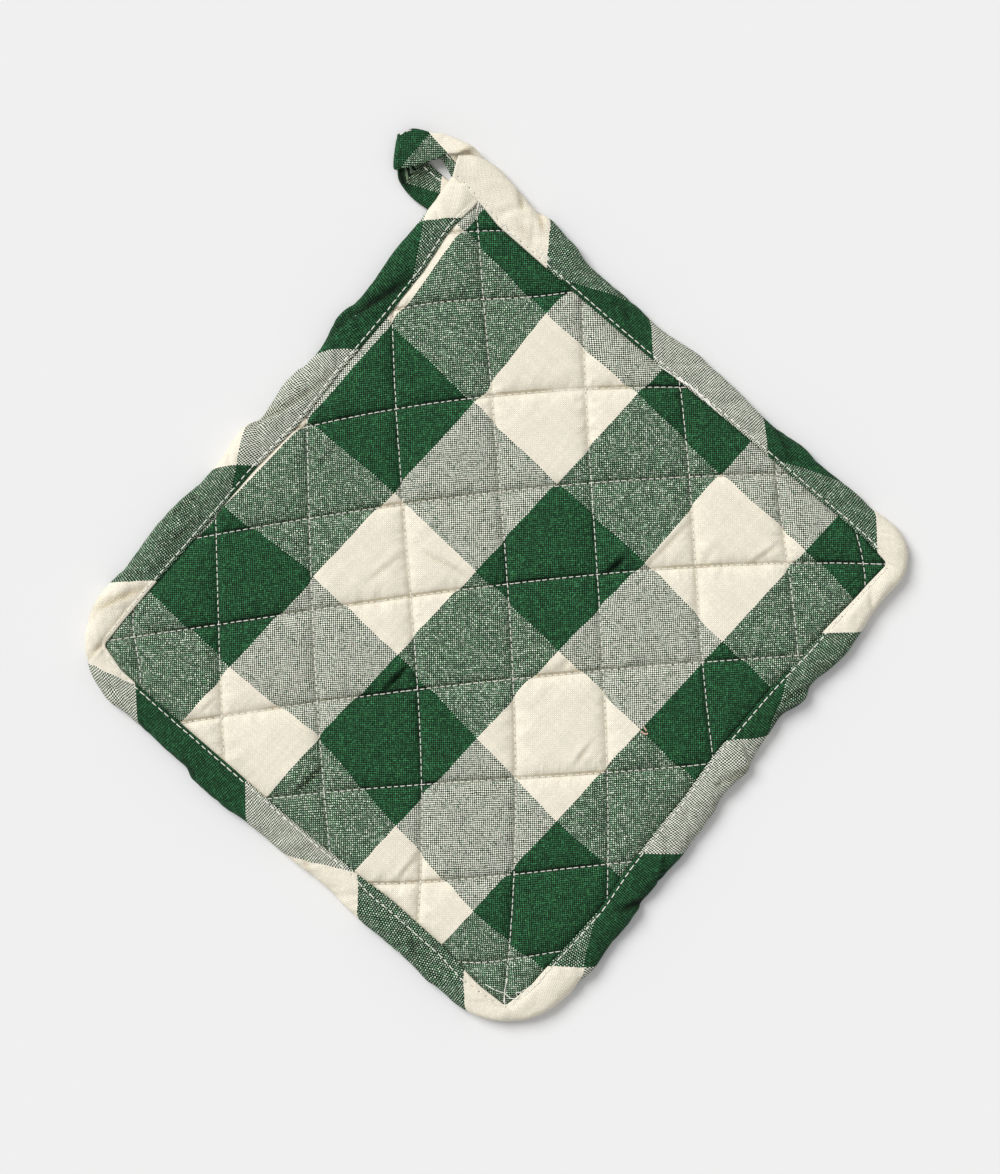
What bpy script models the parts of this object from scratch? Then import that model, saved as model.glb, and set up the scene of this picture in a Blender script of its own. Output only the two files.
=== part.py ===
"""Square quilted pot holder with a bound edge and a tape loop at one corner, lying flat.

+X and +Y run along two of the sides, +Z is up and the underside rests on z = 0. The loop is
at the corner towards -X and +Y. Tables and driving dimensions are in millimetres, measured
from the middle of the pad; CENTRE moves them to the middle of the whole, loop included.
"""

import math

import bmesh
import bpy
from mathutils import Vector

MM = 0.001
CENTRE = (9.96, 3.02)

# Corners before rounding, walked clockwise from the loop, and how far each is rounded.
CORNERS = ("loop", "far", "toe", "near")
BOUND_EDGE = {
    "loop": (-106.2, 112.0),
    "far": (103.5, 110.2),
    "toe": (112.6, -117.4),
    "near": (-104.6, -116.8),
}
PANEL = {
    "loop": (-95.0, 100.2),
    "far": (96.7, 98.9),
    "toe": (97.7, -106.6),
    "near": (-92.1, -103.7),
}
EDGE_RADIUS = {"loop": 5.0, "far": 14.0, "toe": 31.0, "near": 29.0}
PANEL_RADIUS = 2.0

# Ripples of the bound edge, a row for each crest or hollow: millimetres along the side from
# its first corner, and millimetres that the edge stands out from the straight line there.
# They fade out where a side runs into its corners.
RIPPLE_FADE = 9.0
EDGE_RIPPLES = {
    "loop": ((6, 1.1), (16, 0.6), (27, -0.5), (35, 0.4), (45, -0.5), (56, -2.8), (76, -2.3), (87, -2.9),
             (106, -0.7), (125, -1.2), (138, -2.2), (155, -0.7), (162, -1.4), (175, -0.7), (188, -0.7)),
    "far": ((23, -0.6), (45, 1.1), (62, -1.6), (67, 0.0), (77, -2.9), (92, -1.9), (98, 0.0), (109, -1.6),
            (120, 0.0), (136, 0.5), (154, -0.2), (168, 0.7), (178, 0.5), (186, 1.2), (197, 0.0)),
    "toe": ((33, -0.6), (42, 0.3), (52, -0.4), (75, -0.1), (93, -1.1), (106, -0.1), (125, 0.2),
            (138, 1.5), (150, 1.4), (156, -0.4), (178, -0.6), (188, -1.6)),
    "near": ((36, -0.8), (60, 0.6), (86, -1.7), (102, 0.0), (112, -2.6), (126, -1.0), (140, -2.9),
             (155, -0.2), (166, -1.8), (190, 0.0), (205, -0.2)),
}
PANEL_BOWS = {
    "loop": ((27, -1.5), (60, -1.3), (138, 0.6), (182, 1.0)),
    "far": ((12, -0.5), (36, -1.4), (65, -2.4), (85, -2.3), (115, -0.4), (135, 0.3), (160, 2.6), (188, 1.9)),
    "toe": ((12, 0.6), (32, -1.1), (53, -1.1), (73, 0.2), (93, 1.2), (112, 1.6), (165, 2.2)),
    "near": ((24, 0.3), (50, -0.2), (77, -0.5), (107, -2.2), (130, -1.4), (151, -1.5), (168, -1.0)),
}

# Heights: the binding's two legs hold the pad's squeezed edge between them.
LEG = 1.2
GAP = 0.3
SQUEEZED_EDGE = 3.0
CROWN = 8.2
CHANNEL_DEPTH = 2.6
CHANNEL_REACH = 9.0
RISE_REACH = 7.0

# The binding's folded section, a row for each bend: share of the way from the lip to the
# outer edge, and height. It runs over the top, round the edge, under, and back along the slot.
SLOT_FLOOR = LEG
SLOT_ROOF = LEG + GAP + SQUEEZED_EDGE + GAP
BINDING_TOP = SLOT_ROOF + LEG
BINDING_BENDS = (
    (0.00, BINDING_TOP), (0.12, BINDING_TOP - 0.3), (0.55, BINDING_TOP), (0.90, BINDING_TOP - 1.0),
    (1.00, BINDING_TOP / 2), (0.93, 1.0), (0.80, 0.0), (0.00, 0.0),
    (0.00, SLOT_FLOOR), (0.80, SLOT_FLOOR), (0.86, BINDING_TOP / 2), (0.80, SLOT_ROOF), (0.00, SLOT_ROOF),
)
PAD_EDGE_SHARE = 0.76
PAD_INSET = 0.4

# Quilting: two crossing sets of seams run along the pad's diagonals. Each row is a seam: where
# it starts and ends along the diagonal, then how far it lies from the pad's middle at five
# even steps between the two.
DIAGONAL_TURN = math.radians(41.0)
SEAMS_DOWN = (
    (-6.0, -30.1, -126.7, -126.7, -125.8, -124.6, -124.3),
    (26.6, -54.3, -97.8, -97.3, -96.7, -96.0, -95.0),
    (62.0, -90.0, -65.8, -65.1, -63.4, -61.3, -57.8),
    (95.2, -118.3, -35.9, -32.9, -28.8, -25.6, -27.5),
    (137.9, -143.9, -6.5, -1.3, 5.5, 6.8, 3.0),
    (103.3, -106.8, 30.6, 32.6, 37.0, 38.7, 39.4),
    (75.3, -59.5, 64.5, 68.1, 70.4, 73.0, 76.8),
    (43.8, -22.8, 98.6, 100.1, 103.0, 104.5, 106.4),
    (23.5, 1.8, 126.2, 127.6, 128.8, 129.5, 129.7),
)
SEAMS_ACROSS = (
    (-14.0, 6.0, 126.9, 127.2, 127.6, 127.6, 127.4),
    (-33.3, 25.6, 100.1, 102.6, 103.6, 104.3, 106.1),
    (-70.0, 65.5, 57.9, 64.6, 69.9, 71.8, 72.8),
    (-104.7, 101.5, 20.0, 27.9, 36.8, 39.6, 42.4),
    (-137.2, 137.9, -16.1, -6.7, 4.2, 9.2, 10.9),
    (-110.3, 107.1, -44.8, -37.4, -29.4, -25.7, -21.0),
    (-80.2, 76.7, -71.5, -67.6, -64.8, -62.4, -59.0),
    (-45.2, 49.7, -101.3, -100.4, -98.4, -95.8, -93.3),
    (-14.0, 25.2, -128.5, -128.5, -127.8, -125.9, -124.6),
)

# The loop's tape, a row for each place along it: its outer edge x, y, its inner edge x, y and
# its height. It leaves the corner, turns down, folds under at its tip and comes back.
TAPE_THICKNESS = 1.6
TAPE_LEAVING = (
    (-106.3, 111.6, -106.3, 104.0, 4.2),
    (-112.0, 111.4, -110.5, 104.9, 4.2),
    (-117.5, 109.7, -113.6, 104.4, 4.0),
    (-123.3, 107.1, -116.4, 102.0, 3.6),
    (-128.4, 104.0, -120.0, 96.6, 3.2),
    (-130.4, 100.6, -123.0, 91.4, 3.0),
)
TAPE_FOLD = (-130.9, 98.8, -125.0, 89.2)
FOLD_RADIUS = 1.1
FOLD_STEPS = 4
TAPE_RETURNING = (
    (-127.5, 98.6, -122.8, 87.9, 0.8),
    (-120.0, 98.6, -118.6, 86.7, 0.8),
    (-113.0, 98.6, -113.0, 86.2, 0.8),
    (-106.3, 98.6, -106.2, 86.6, 0.8),
)
TAPE_SECTION = ((0.0, 0.0), (0.08, 0.5), (0.92, 0.5), (1.0, 0.0), (0.92, -0.5), (0.08, -0.5))

SIDE_STEPS = 34
ARC_STEPS = 6
LOOP_STEPS = SIDE_STEPS + ARC_STEPS

PAD_COLOUR = (0.30, 0.36, 0.29, 1.0)
BINDING_COLOUR = (0.13, 0.22, 0.14, 1.0)
TAPE_COLOUR = (0.05, 0.13, 0.06, 1.0)
CLOTH_ROUGHNESS = 0.9
WELD = 0.000001
SAME_PLANE = math.radians(0.01)


def clear_scene():
    for item in list(bpy.data.objects):
        bpy.data.objects.remove(item, do_unlink=True)


def cloth(name, colour):
    """A matt cotton finish in one colour."""
    material = bpy.data.materials.new(name)
    material.use_nodes = True
    shader = material.node_tree.nodes["Principled BSDF"]
    shader.inputs["Base Color"].default_value = colour
    shader.inputs["Roughness"].default_value = CLOTH_ROUGHNESS
    shader.inputs["Metallic"].default_value = 0.0
    return material


def smooth_row(rows, along):
    """The height of a smooth wave through the rows' crests and hollows."""
    if along <= rows[0][0]:
        return rows[0][1]
    for (start, low), (end, high) in zip(rows, rows[1:]):
        if along <= end:
            share = (along - start) / (end - start)
            return low + (high - low) * (1 - math.cos(math.pi * share)) / 2
    return rows[-1][1]


def corner_arc(corner, before, after, radius):
    """Points round a corner, between the sides that run to the points before and after it."""
    back = (before - corner).normalized() * radius
    on = (after - corner).normalized() * radius
    points = []
    for step in range(ARC_STEPS + 1):
        turn = math.pi / 2 * step / ARC_STEPS
        points.append(corner + back * (1 - math.sin(turn)) + on * (1 - math.cos(turn)))
    return points


def edge_loop(corners, radii, waves):
    """Four runs of LOOP_STEPS + 1 points, each from the middle of one corner to the next's."""
    spots = [Vector(corners[name]) for name in CORNERS]
    arcs = []
    for index, name in enumerate(CORNERS):
        arcs.append(corner_arc(spots[index], spots[index - 1], spots[(index + 1) % 4], radii[name]))
    half = ARC_STEPS // 2
    runs = []
    for index, name in enumerate(CORNERS):
        following = (index + 1) % 4
        along = (spots[following] - spots[index]).normalized()
        outwards = Vector((-along.y, along.x))
        start = arcs[index][-1]
        end = arcs[following][0]
        straight = []
        for step in range(1, SIDE_STEPS):
            point = start.lerp(end, step / SIDE_STEPS)
            distance = (point - spots[index]).dot(along)
            from_ends = min((point - start).length, (point - end).length)
            fade = min(from_ends / RIPPLE_FADE, 1)
            straight.append(point + outwards * smooth_row(waves[name], distance) * fade)
        first = arcs[index][half:]
        last = arcs[following][:half + 1]
        runs.append(first + straight + last)
    return runs


def between(inner_runs, outer_runs, share):
    """The four runs that lie a share of the way from the inner ones to the outer ones."""
    return [[a.lerp(b, share) for a, b in zip(inner, outer)] for inner, outer in zip(inner_runs, outer_runs)]


def in_one(runs):
    """The four runs as one closed list of points."""
    return [point for run in runs for point in run[:-1]]


def coons_point(runs, across, up):
    """A point inside the four runs; across and up go from 0 to 1."""
    column = round(across * LOOP_STEPS)
    row = round(up * LOOP_STEPS)
    top = runs[0][column]
    right = runs[1][LOOP_STEPS - row]
    bottom = runs[2][LOOP_STEPS - column]
    left = runs[3][row]
    sides = bottom.lerp(top, up) + left.lerp(right, across)
    low = runs[3][0].lerp(runs[1][LOOP_STEPS], across)
    high = runs[0][0].lerp(runs[0][LOOP_STEPS], across)
    return sides - low.lerp(high, up)


def seam_offset(row, share):
    """How far a seam lies from the pad's middle, a share of the way along it."""
    spots = row[2:]
    place = min(max(share, 0.0), 1.0) * (len(spots) - 1)
    first = min(int(place), len(spots) - 2)
    return spots[first] + (spots[first + 1] - spots[first]) * (place - first)


def seam_pull(rows, along, across):
    """How deep the nearest seam of a set draws the cloth down: 1 on it, 0 well clear."""
    pull = 0.0
    for row in rows:
        share = (along - row[0]) / (row[1] - row[0])
        clear = abs(across - seam_offset(row, share))
        past_end = max(-share, share - 1, 0) * abs(row[1] - row[0])
        near = 1 - math.hypot(clear, past_end) / CHANNEL_REACH
        pull = max(pull, near)
    return max(pull, 0) ** 2


def inside_panel(point):
    """Distance from a point in the panel to its nearest side."""
    spots = [Vector(PANEL[name]) for name in CORNERS]
    nearest = math.inf
    for index, spot in enumerate(spots):
        along = (spots[(index + 1) % 4] - spot).normalized()
        inwards = Vector((along.y, -along.x))
        nearest = min(nearest, (point - spot).dot(inwards))
    return max(nearest, 0)


def crown_height(point):
    """Height of the quilted top: it rises from the held edge and dips along every seam."""
    held = LEG + GAP + SQUEEZED_EDGE
    right = point.x * math.cos(DIAGONAL_TURN) + point.y * math.sin(DIAGONAL_TURN)
    up = point.y * math.cos(DIAGONAL_TURN) - point.x * math.sin(DIAGONAL_TURN)
    pull = max(seam_pull(SEAMS_DOWN, up, right), seam_pull(SEAMS_ACROSS, right, up))
    rise = 1 - math.exp(-inside_panel(point) / RISE_REACH)
    return held + (CROWN - held) * rise - CHANNEL_DEPTH * pull * rise


def placed(point, height):
    """A point of the plan at a height, in metres, from the middle of the whole."""
    return Vector(((point.x + CENTRE[0]) * MM, (point.y + CENTRE[1]) * MM, height * MM))


def panel_sheet(bm, runs, height):
    """A grid across the panel, shaped to its four sides and lifted by the height function."""
    made = bmesh.ops.create_grid(bm, x_segments=LOOP_STEPS, y_segments=LOOP_STEPS, size=1)
    for vert in made["verts"]:
        across = (vert.co.x + 1) / 2
        up = (vert.co.y + 1) / 2
        on_side = max(abs(vert.co.x), abs(vert.co.y)) > 1 - 0.5 / LOOP_STEPS
        point = coons_point(runs, across, up)
        vert.co = placed(point, height(point, on_side))
    return made["verts"]


def finish_mesh(bm, name, material, collection):
    """Weld, face outwards and link as one object."""
    bmesh.ops.remove_doubles(bm, verts=bm.verts[:], dist=WELD)
    bmesh.ops.recalc_face_normals(bm, faces=bm.faces[:])
    mesh = bpy.data.meshes.new(name)
    bm.to_mesh(mesh)
    bm.free()
    mesh.materials.append(material)
    mesh.shade_smooth()
    part = bpy.data.objects.new(name, mesh)
    collection.objects.link(part)
    return part


def quilted_pad(lip, edge, collection):
    """Front cloth, filling and back cloth sewn through as one pad, flat underneath."""
    held_top = LEG + GAP + SQUEEZED_EDGE
    held_bottom = LEG + GAP

    def top_height(point, on_side):
        return held_top if on_side else crown_height(point)

    def bottom_height(_point, on_side):
        return held_bottom if on_side else 0.0

    panel = inset_runs(lip, PAD_INSET)
    outline = in_one(between(lip, edge, PAD_EDGE_SHARE))
    bm = bmesh.new()
    walls = []
    for height in (top_height, bottom_height):
        sheet = set(panel_sheet(bm, panel, height))
        walls += flange(bm, sheet, in_one(panel), outline)
    bmesh.ops.bridge_loops(bm, edges=walls)
    bottom = [face for face in bm.faces if max(vert.co.z for vert in face.verts) < WELD]
    inner = [link for face in bottom for link in face.edges]
    bmesh.ops.dissolve_limit(bm, angle_limit=SAME_PLANE, verts=[], edges=list(set(inner)))
    return finish_mesh(bm, "quilted_pad", cloth("Quilted gingham", PAD_COLOUR), collection)


def inset_runs(runs, inset):
    """The four runs drawn in towards the middle by a small distance."""
    step = inset * math.sqrt(2)
    return [[point - point.normalized() * step for point in run] for run in runs]


def flange(bm, sheet, ring, outline):
    """The squeezed border that runs out from the panel under the binding; gives its rim."""
    rim = [link for link in bm.edges if link.is_boundary and link.verts[0] in sheet]
    grown = bmesh.ops.extrude_edge_only(bm, edges=rim)["geom"]
    starts = [placed(point, 0).xy for point in ring]
    for vert in [item for item in grown if isinstance(item, bmesh.types.BMVert)]:
        nearest = min(range(len(starts)), key=lambda index: (starts[index] - vert.co.xy).length)
        vert.co.xy = placed(outline[nearest], 0).xy
    return [item for item in grown if isinstance(item, bmesh.types.BMEdge) and item.is_boundary]


def wrapped_grid(rows, columns, place, closed):
    """A grid sheet rolled into a tube: place gives the spot of each row and column."""
    bm = bmesh.new()
    bmesh.ops.create_grid(bm, x_segments=rows, y_segments=columns, size=1)
    for vert in bm.verts:
        row = round((vert.co.x + 1) / 2 * rows)
        column = round((vert.co.y + 1) / 2 * columns)
        vert.co = place(row % rows if closed else row, column % columns)
    bmesh.ops.remove_doubles(bm, verts=bm.verts[:], dist=WELD)
    return bm


def edge_binding(lip, edge, collection):
    """The bias strip folded round all four sides of the pad, rippled along its outer edge."""
    inner = in_one(lip)
    outer = in_one(edge)

    def place(row, column):
        share, height = BINDING_BENDS[column]
        return placed(inner[row].lerp(outer[row], share), height)

    bm = wrapped_grid(len(inner), len(BINDING_BENDS), place, closed=True)
    return finish_mesh(bm, "edge_binding", cloth("Bias binding", BINDING_COLOUR), collection)


def tape_stations():
    """Every place along the loop's tape: outer edge, inner edge, as points in space."""
    def ends(row):
        return Vector((row[0], row[1], row[4])), Vector((row[2], row[3], row[4]))

    stations = [ends(row) for row in TAPE_LEAVING]
    first = Vector(TAPE_FOLD[:2])
    second = Vector(TAPE_FOLD[2:])
    along = (second - first).normalized()
    outwards = Vector((along.y, -along.x))
    middle = (TAPE_LEAVING[-1][4] + TAPE_RETURNING[0][4]) / 2
    for step in range(FOLD_STEPS + 1):
        turn = math.pi * step / FOLD_STEPS
        shift = outwards * FOLD_RADIUS * math.sin(turn)
        height = middle + FOLD_RADIUS * math.cos(turn)
        stations.append(((first + shift).to_3d() + Vector((0, 0, height)),
                         (second + shift).to_3d() + Vector((0, 0, height))))
    stations += [ends(row) for row in TAPE_RETURNING]
    return stations


def hanging_loop(collection):
    """The tape's tail: a flat folded strip that makes the loop at the corner."""
    stations = tape_stations()

    def place(row, column):
        outer, inner = stations[row]
        before = stations[max(row - 1, 0)]
        after = stations[min(row + 1, len(stations) - 1)]
        onwards = (after[0] + after[1]) - (before[0] + before[1])
        upwards = onwards.cross(inner - outer).normalized()
        share, lift = TAPE_SECTION[column]
        spot = outer.lerp(inner, share) + upwards * lift * TAPE_THICKNESS
        return placed(spot.xy, spot.z)

    bm = wrapped_grid(len(stations) - 1, len(TAPE_SECTION), place, closed=False)
    bmesh.ops.holes_fill(bm, edges=[link for link in bm.edges if link.is_boundary], sides=len(TAPE_SECTION))
    return finish_mesh(bm, "hanging_loop", cloth("Loop tape", TAPE_COLOUR), collection)


def build():
    clear_scene()
    collection = bpy.data.collections.new("pot_holder")
    bpy.context.scene.collection.children.link(collection)
    edge = edge_loop(BOUND_EDGE, EDGE_RADIUS, EDGE_RIPPLES)
    lip = edge_loop(PANEL, dict.fromkeys(CORNERS, PANEL_RADIUS), PANEL_BOWS)
    quilted_pad(lip, edge, collection)
    edge_binding(lip, edge, collection)
    hanging_loop(collection)


build()
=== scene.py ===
import math

import bmesh
import bpy
import numpy as np
from mathutils import Matrix, Vector, noise
from mathutils.bvhtree import BVHTree
from mathutils.kdtree import KDTree


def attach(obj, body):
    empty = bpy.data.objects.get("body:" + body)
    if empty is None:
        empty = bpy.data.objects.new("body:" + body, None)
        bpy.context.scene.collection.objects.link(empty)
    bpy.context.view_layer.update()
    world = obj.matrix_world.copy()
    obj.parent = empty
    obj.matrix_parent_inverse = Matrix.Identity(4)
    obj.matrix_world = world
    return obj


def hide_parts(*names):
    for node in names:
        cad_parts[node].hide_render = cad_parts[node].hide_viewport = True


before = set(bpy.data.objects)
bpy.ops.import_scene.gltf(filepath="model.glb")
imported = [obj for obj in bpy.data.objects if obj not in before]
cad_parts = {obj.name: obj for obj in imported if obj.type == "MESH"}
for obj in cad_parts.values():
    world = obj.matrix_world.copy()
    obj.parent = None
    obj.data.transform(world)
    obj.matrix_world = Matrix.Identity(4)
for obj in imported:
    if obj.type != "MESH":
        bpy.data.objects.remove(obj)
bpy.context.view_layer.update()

# ---------------------------------------------------------------------------------------
# The view. The pot holder lies on its back and the camera looks straight down on it, turned
# so that the loop corner points up the picture. A long lens keeps the sides true.
# ---------------------------------------------------------------------------------------
MM = 0.001
PAD_MIDDLE = (9.96, 3.02)       # the pad's own middle in the frame, in millimetres
DIAGONAL_TURN = math.radians(41.0)  # from the frame's +X to the picture's right
PICTURE_MIDDLE = (-0.52, 3.26)  # what lies at the picture's middle, from the pad's middle
PICTURE_HEIGHT = 410.9          # millimetres of floor from the picture's top to its bottom
SHARP_HEIGHT = 6.0              # the picture's scale is true at this height
LENS = 85.0
SENSOR = 36.0

distance = LENS / SENSOR * PICTURE_HEIGHT
camera = bpy.data.objects.new("camera", bpy.data.cameras.new("camera"))
bpy.context.scene.collection.objects.link(camera)
camera.data.lens = LENS
camera.data.sensor_width = SENSOR
camera.data.sensor_fit = "AUTO"
camera.data.clip_start = 0.01
camera.location = (
    (PAD_MIDDLE[0] + PICTURE_MIDDLE[0]) * MM,
    (PAD_MIDDLE[1] + PICTURE_MIDDLE[1]) * MM,
    (distance + SHARP_HEIGHT) * MM,
)
camera.rotation_euler = (0, 0, DIAGONAL_TURN)
bpy.context.scene.camera = camera
bpy.context.scene.view_settings.view_transform = "Standard"

# ---------------------------------------------------------------------------------------
# The studio. A plain pale table top, a broad soft light from the picture's upper left and an
# even fill from all round, so that the table stays one flat grey.
# ---------------------------------------------------------------------------------------
FLOOR_DROP = 0.15
FLOOR_SIZE = 6.0
FLOOR_COLOUR = (0.80, 0.80, 0.80, 1.0)
FILL_LIGHT = 0.51
KEY_LIGHT = 2.66
KEY_SPREAD = math.radians(34.0)
KEY_LEAN = math.radians(47.0)
KEY_SIDE = DIAGONAL_TURN + math.radians(138.0)


def plain_material(name, colour, roughness):
    """A new material with one Principled shader, and that shader."""
    made = bpy.data.materials.new(name)
    made.use_nodes = True
    shader = made.node_tree.nodes["Principled BSDF"]
    shader.inputs["Base Color"].default_value = colour
    shader.inputs["Roughness"].default_value = roughness
    return made, shader


def grid_mesh(name, cells_along, cells_across, size=1.0):
    """A flat grid of that size, its middle on the origin."""
    bm = bmesh.new()
    bmesh.ops.create_grid(bm, x_segments=cells_along, y_segments=cells_across, size=size / 2)
    made = bpy.data.meshes.new(name)
    bm.to_mesh(made)
    bm.free()
    return made


floor_mesh = grid_mesh("table_top", 1, 1, FLOOR_SIZE)
floor = bpy.data.objects.new("table_top", floor_mesh)
floor.location.z = -FLOOR_DROP * MM
floor_material, floor_shader = plain_material("Pale table", FLOOR_COLOUR, 0.85)
floor_shader.inputs["Specular IOR Level"].default_value = 0.0
floor_mesh.materials.append(floor_material)
bpy.context.scene.collection.objects.link(floor)

key = bpy.data.objects.new("key_light", bpy.data.lights.new("key_light", "SUN"))
key.data.energy = KEY_LIGHT
key.data.angle = KEY_SPREAD
toward_key = Vector((
    math.sin(KEY_LEAN) * math.cos(KEY_SIDE),
    math.sin(KEY_LEAN) * math.sin(KEY_SIDE),
    math.cos(KEY_LEAN),
))
key.rotation_euler = toward_key.to_track_quat("Z", "Y").to_euler()
bpy.context.scene.collection.objects.link(key)

world = bpy.data.worlds.new("studio")
world.use_nodes = True
world.node_tree.nodes["Background"].inputs["Color"].default_value = (1, 1, 1, 1)
world.node_tree.nodes["Background"].inputs["Strength"].default_value = FILL_LIGHT
bpy.context.scene.world = world

# ---------------------------------------------------------------------------------------
# The gingham. One plain-weave cotton makes pad, binding and loop: bands of green and of
# cream yarn cross, and the yarns that run down the bolt stand a little prouder than the
# ones across. The pattern reads each piece's own UV map, counted in checks.
# ---------------------------------------------------------------------------------------
THREADS_IN_A_CHECK = 84.0
GREEN_YARN = (0.0132, 0.064, 0.0235, 1.0)
CREAM_YARN = (0.825, 0.768, 0.637, 1.0)
# Cream yarn among green: greener where the green shows through, darker with painted shade, most where sunk.
CREAM_OVER_GREEN = (0.78, 0.80, 0.68, 1.0)    # proud cream yarn with green ones under it
CREAM_UNDER_GREEN = (0.52, 0.61, 0.48, 1.0)   # sunk cream yarn between proud green ones
YARN_WANDER = 0.016     # how far the yarns wander, in checks, and how closely
WANDER_SCALE = 260.0
SLUBS_IN_A_CHECK = 9.0
SLUBS_APART = 7.31      # keeps each yarn's slubs unlike its neighbours' ones
WEAVE_DEPTH = 0.00016
WARM_BOUNCE = 0.76      # share of the light that reaches a groove from its own cloth


class Wires:
    """Places nodes in a tree and joins them up, so that a pattern reads like a formula."""

    def __init__(self, tree):
        self.tree = tree

    def node(self, kind, **settings):
        made = self.tree.nodes.new(kind)
        for name, value in settings.items():
            setattr(made, name, value)
        return made

    def feed(self, socket, value):
        if isinstance(value, bpy.types.NodeSocket):
            self.tree.links.new(value, socket)
        else:
            socket.default_value = value

    def maths(self, operation, first, second=0.0, third=0.0):
        made = self.node("ShaderNodeMath", operation=operation)
        for socket, value in zip(made.inputs, (first, second, third)):
            self.feed(socket, value)
        return made.outputs[0]

    def mix(self, share, first, second, blend="MIX"):
        made = self.node("ShaderNodeMix", data_type="RGBA", blend_type=blend)
        self.feed(made.inputs["Factor"], share)
        self.feed(made.inputs[6], first)
        self.feed(made.inputs[7], second)
        return made.outputs[2]

    def blotches(self, where, scale, output="Fac"):
        made = self.node("ShaderNodeTexNoise", noise_dimensions="3D")
        self.feed(made.inputs["Vector"], where)
        made.inputs["Scale"].default_value = scale
        made.inputs["Detail"].default_value = 2.0
        return made.outputs[output]

    def spot(self, x, y, z=0.0):
        made = self.node("ShaderNodeCombineXYZ")
        for socket, value in zip(made.inputs, (x, y, z)):
            self.feed(socket, value)
        return made.outputs[0]

    def parts(self, kind, value):
        made = self.node("ShaderNodeSeparate" + kind)
        self.feed(made.inputs[0], value)
        return made.outputs

    def chance(self, kind, label, value):
        made = self.node("ShaderNodeTexWhiteNoise", noise_dimensions=kind)
        self.feed(made.inputs[label], value)
        return made.outputs

    def dim(self, colour, share):
        """A colour times a share."""
        return self.mix(1.0, colour, self.spot(share, share, share), "MULTIPLY")

    def ramp(self, value, low, high, first=0.0, last=1.0, **settings):
        """From first to last, as the value goes from low to high."""
        made = self.node("ShaderNodeMapRange", **settings)
        labels = ("Value", "From Min", "From Max", "To Min", "To Max")
        for label, amount in zip(labels, (value, low, high, first, last)):
            self.feed(made.inputs[label], amount)
        return made.outputs[0]

    def bump(self, height, strength, distance):
        made = self.node("ShaderNodeBump")
        made.inputs["Strength"].default_value = strength
        made.inputs["Distance"].default_value = distance
        self.feed(made.inputs["Height"], height)
        return made


def new_group(name, inputs, outputs):
    """An empty node group with the sockets named: (name, kind, value) in, (name, kind) out."""
    group = bpy.data.node_groups.new(name, "ShaderNodeTree")
    for label, kind, value in inputs:
        socket = group.interface.new_socket(label, in_out="INPUT", socket_type=kind)
        if value is not None:
            socket.default_value = value
    for label, kind in outputs:
        group.interface.new_socket(label, in_out="OUTPUT", socket_type=kind)
    wires = Wires(group)
    return group, wires, wires.node("NodeGroupInput").outputs, wires.node("NodeGroupOutput").inputs


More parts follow.
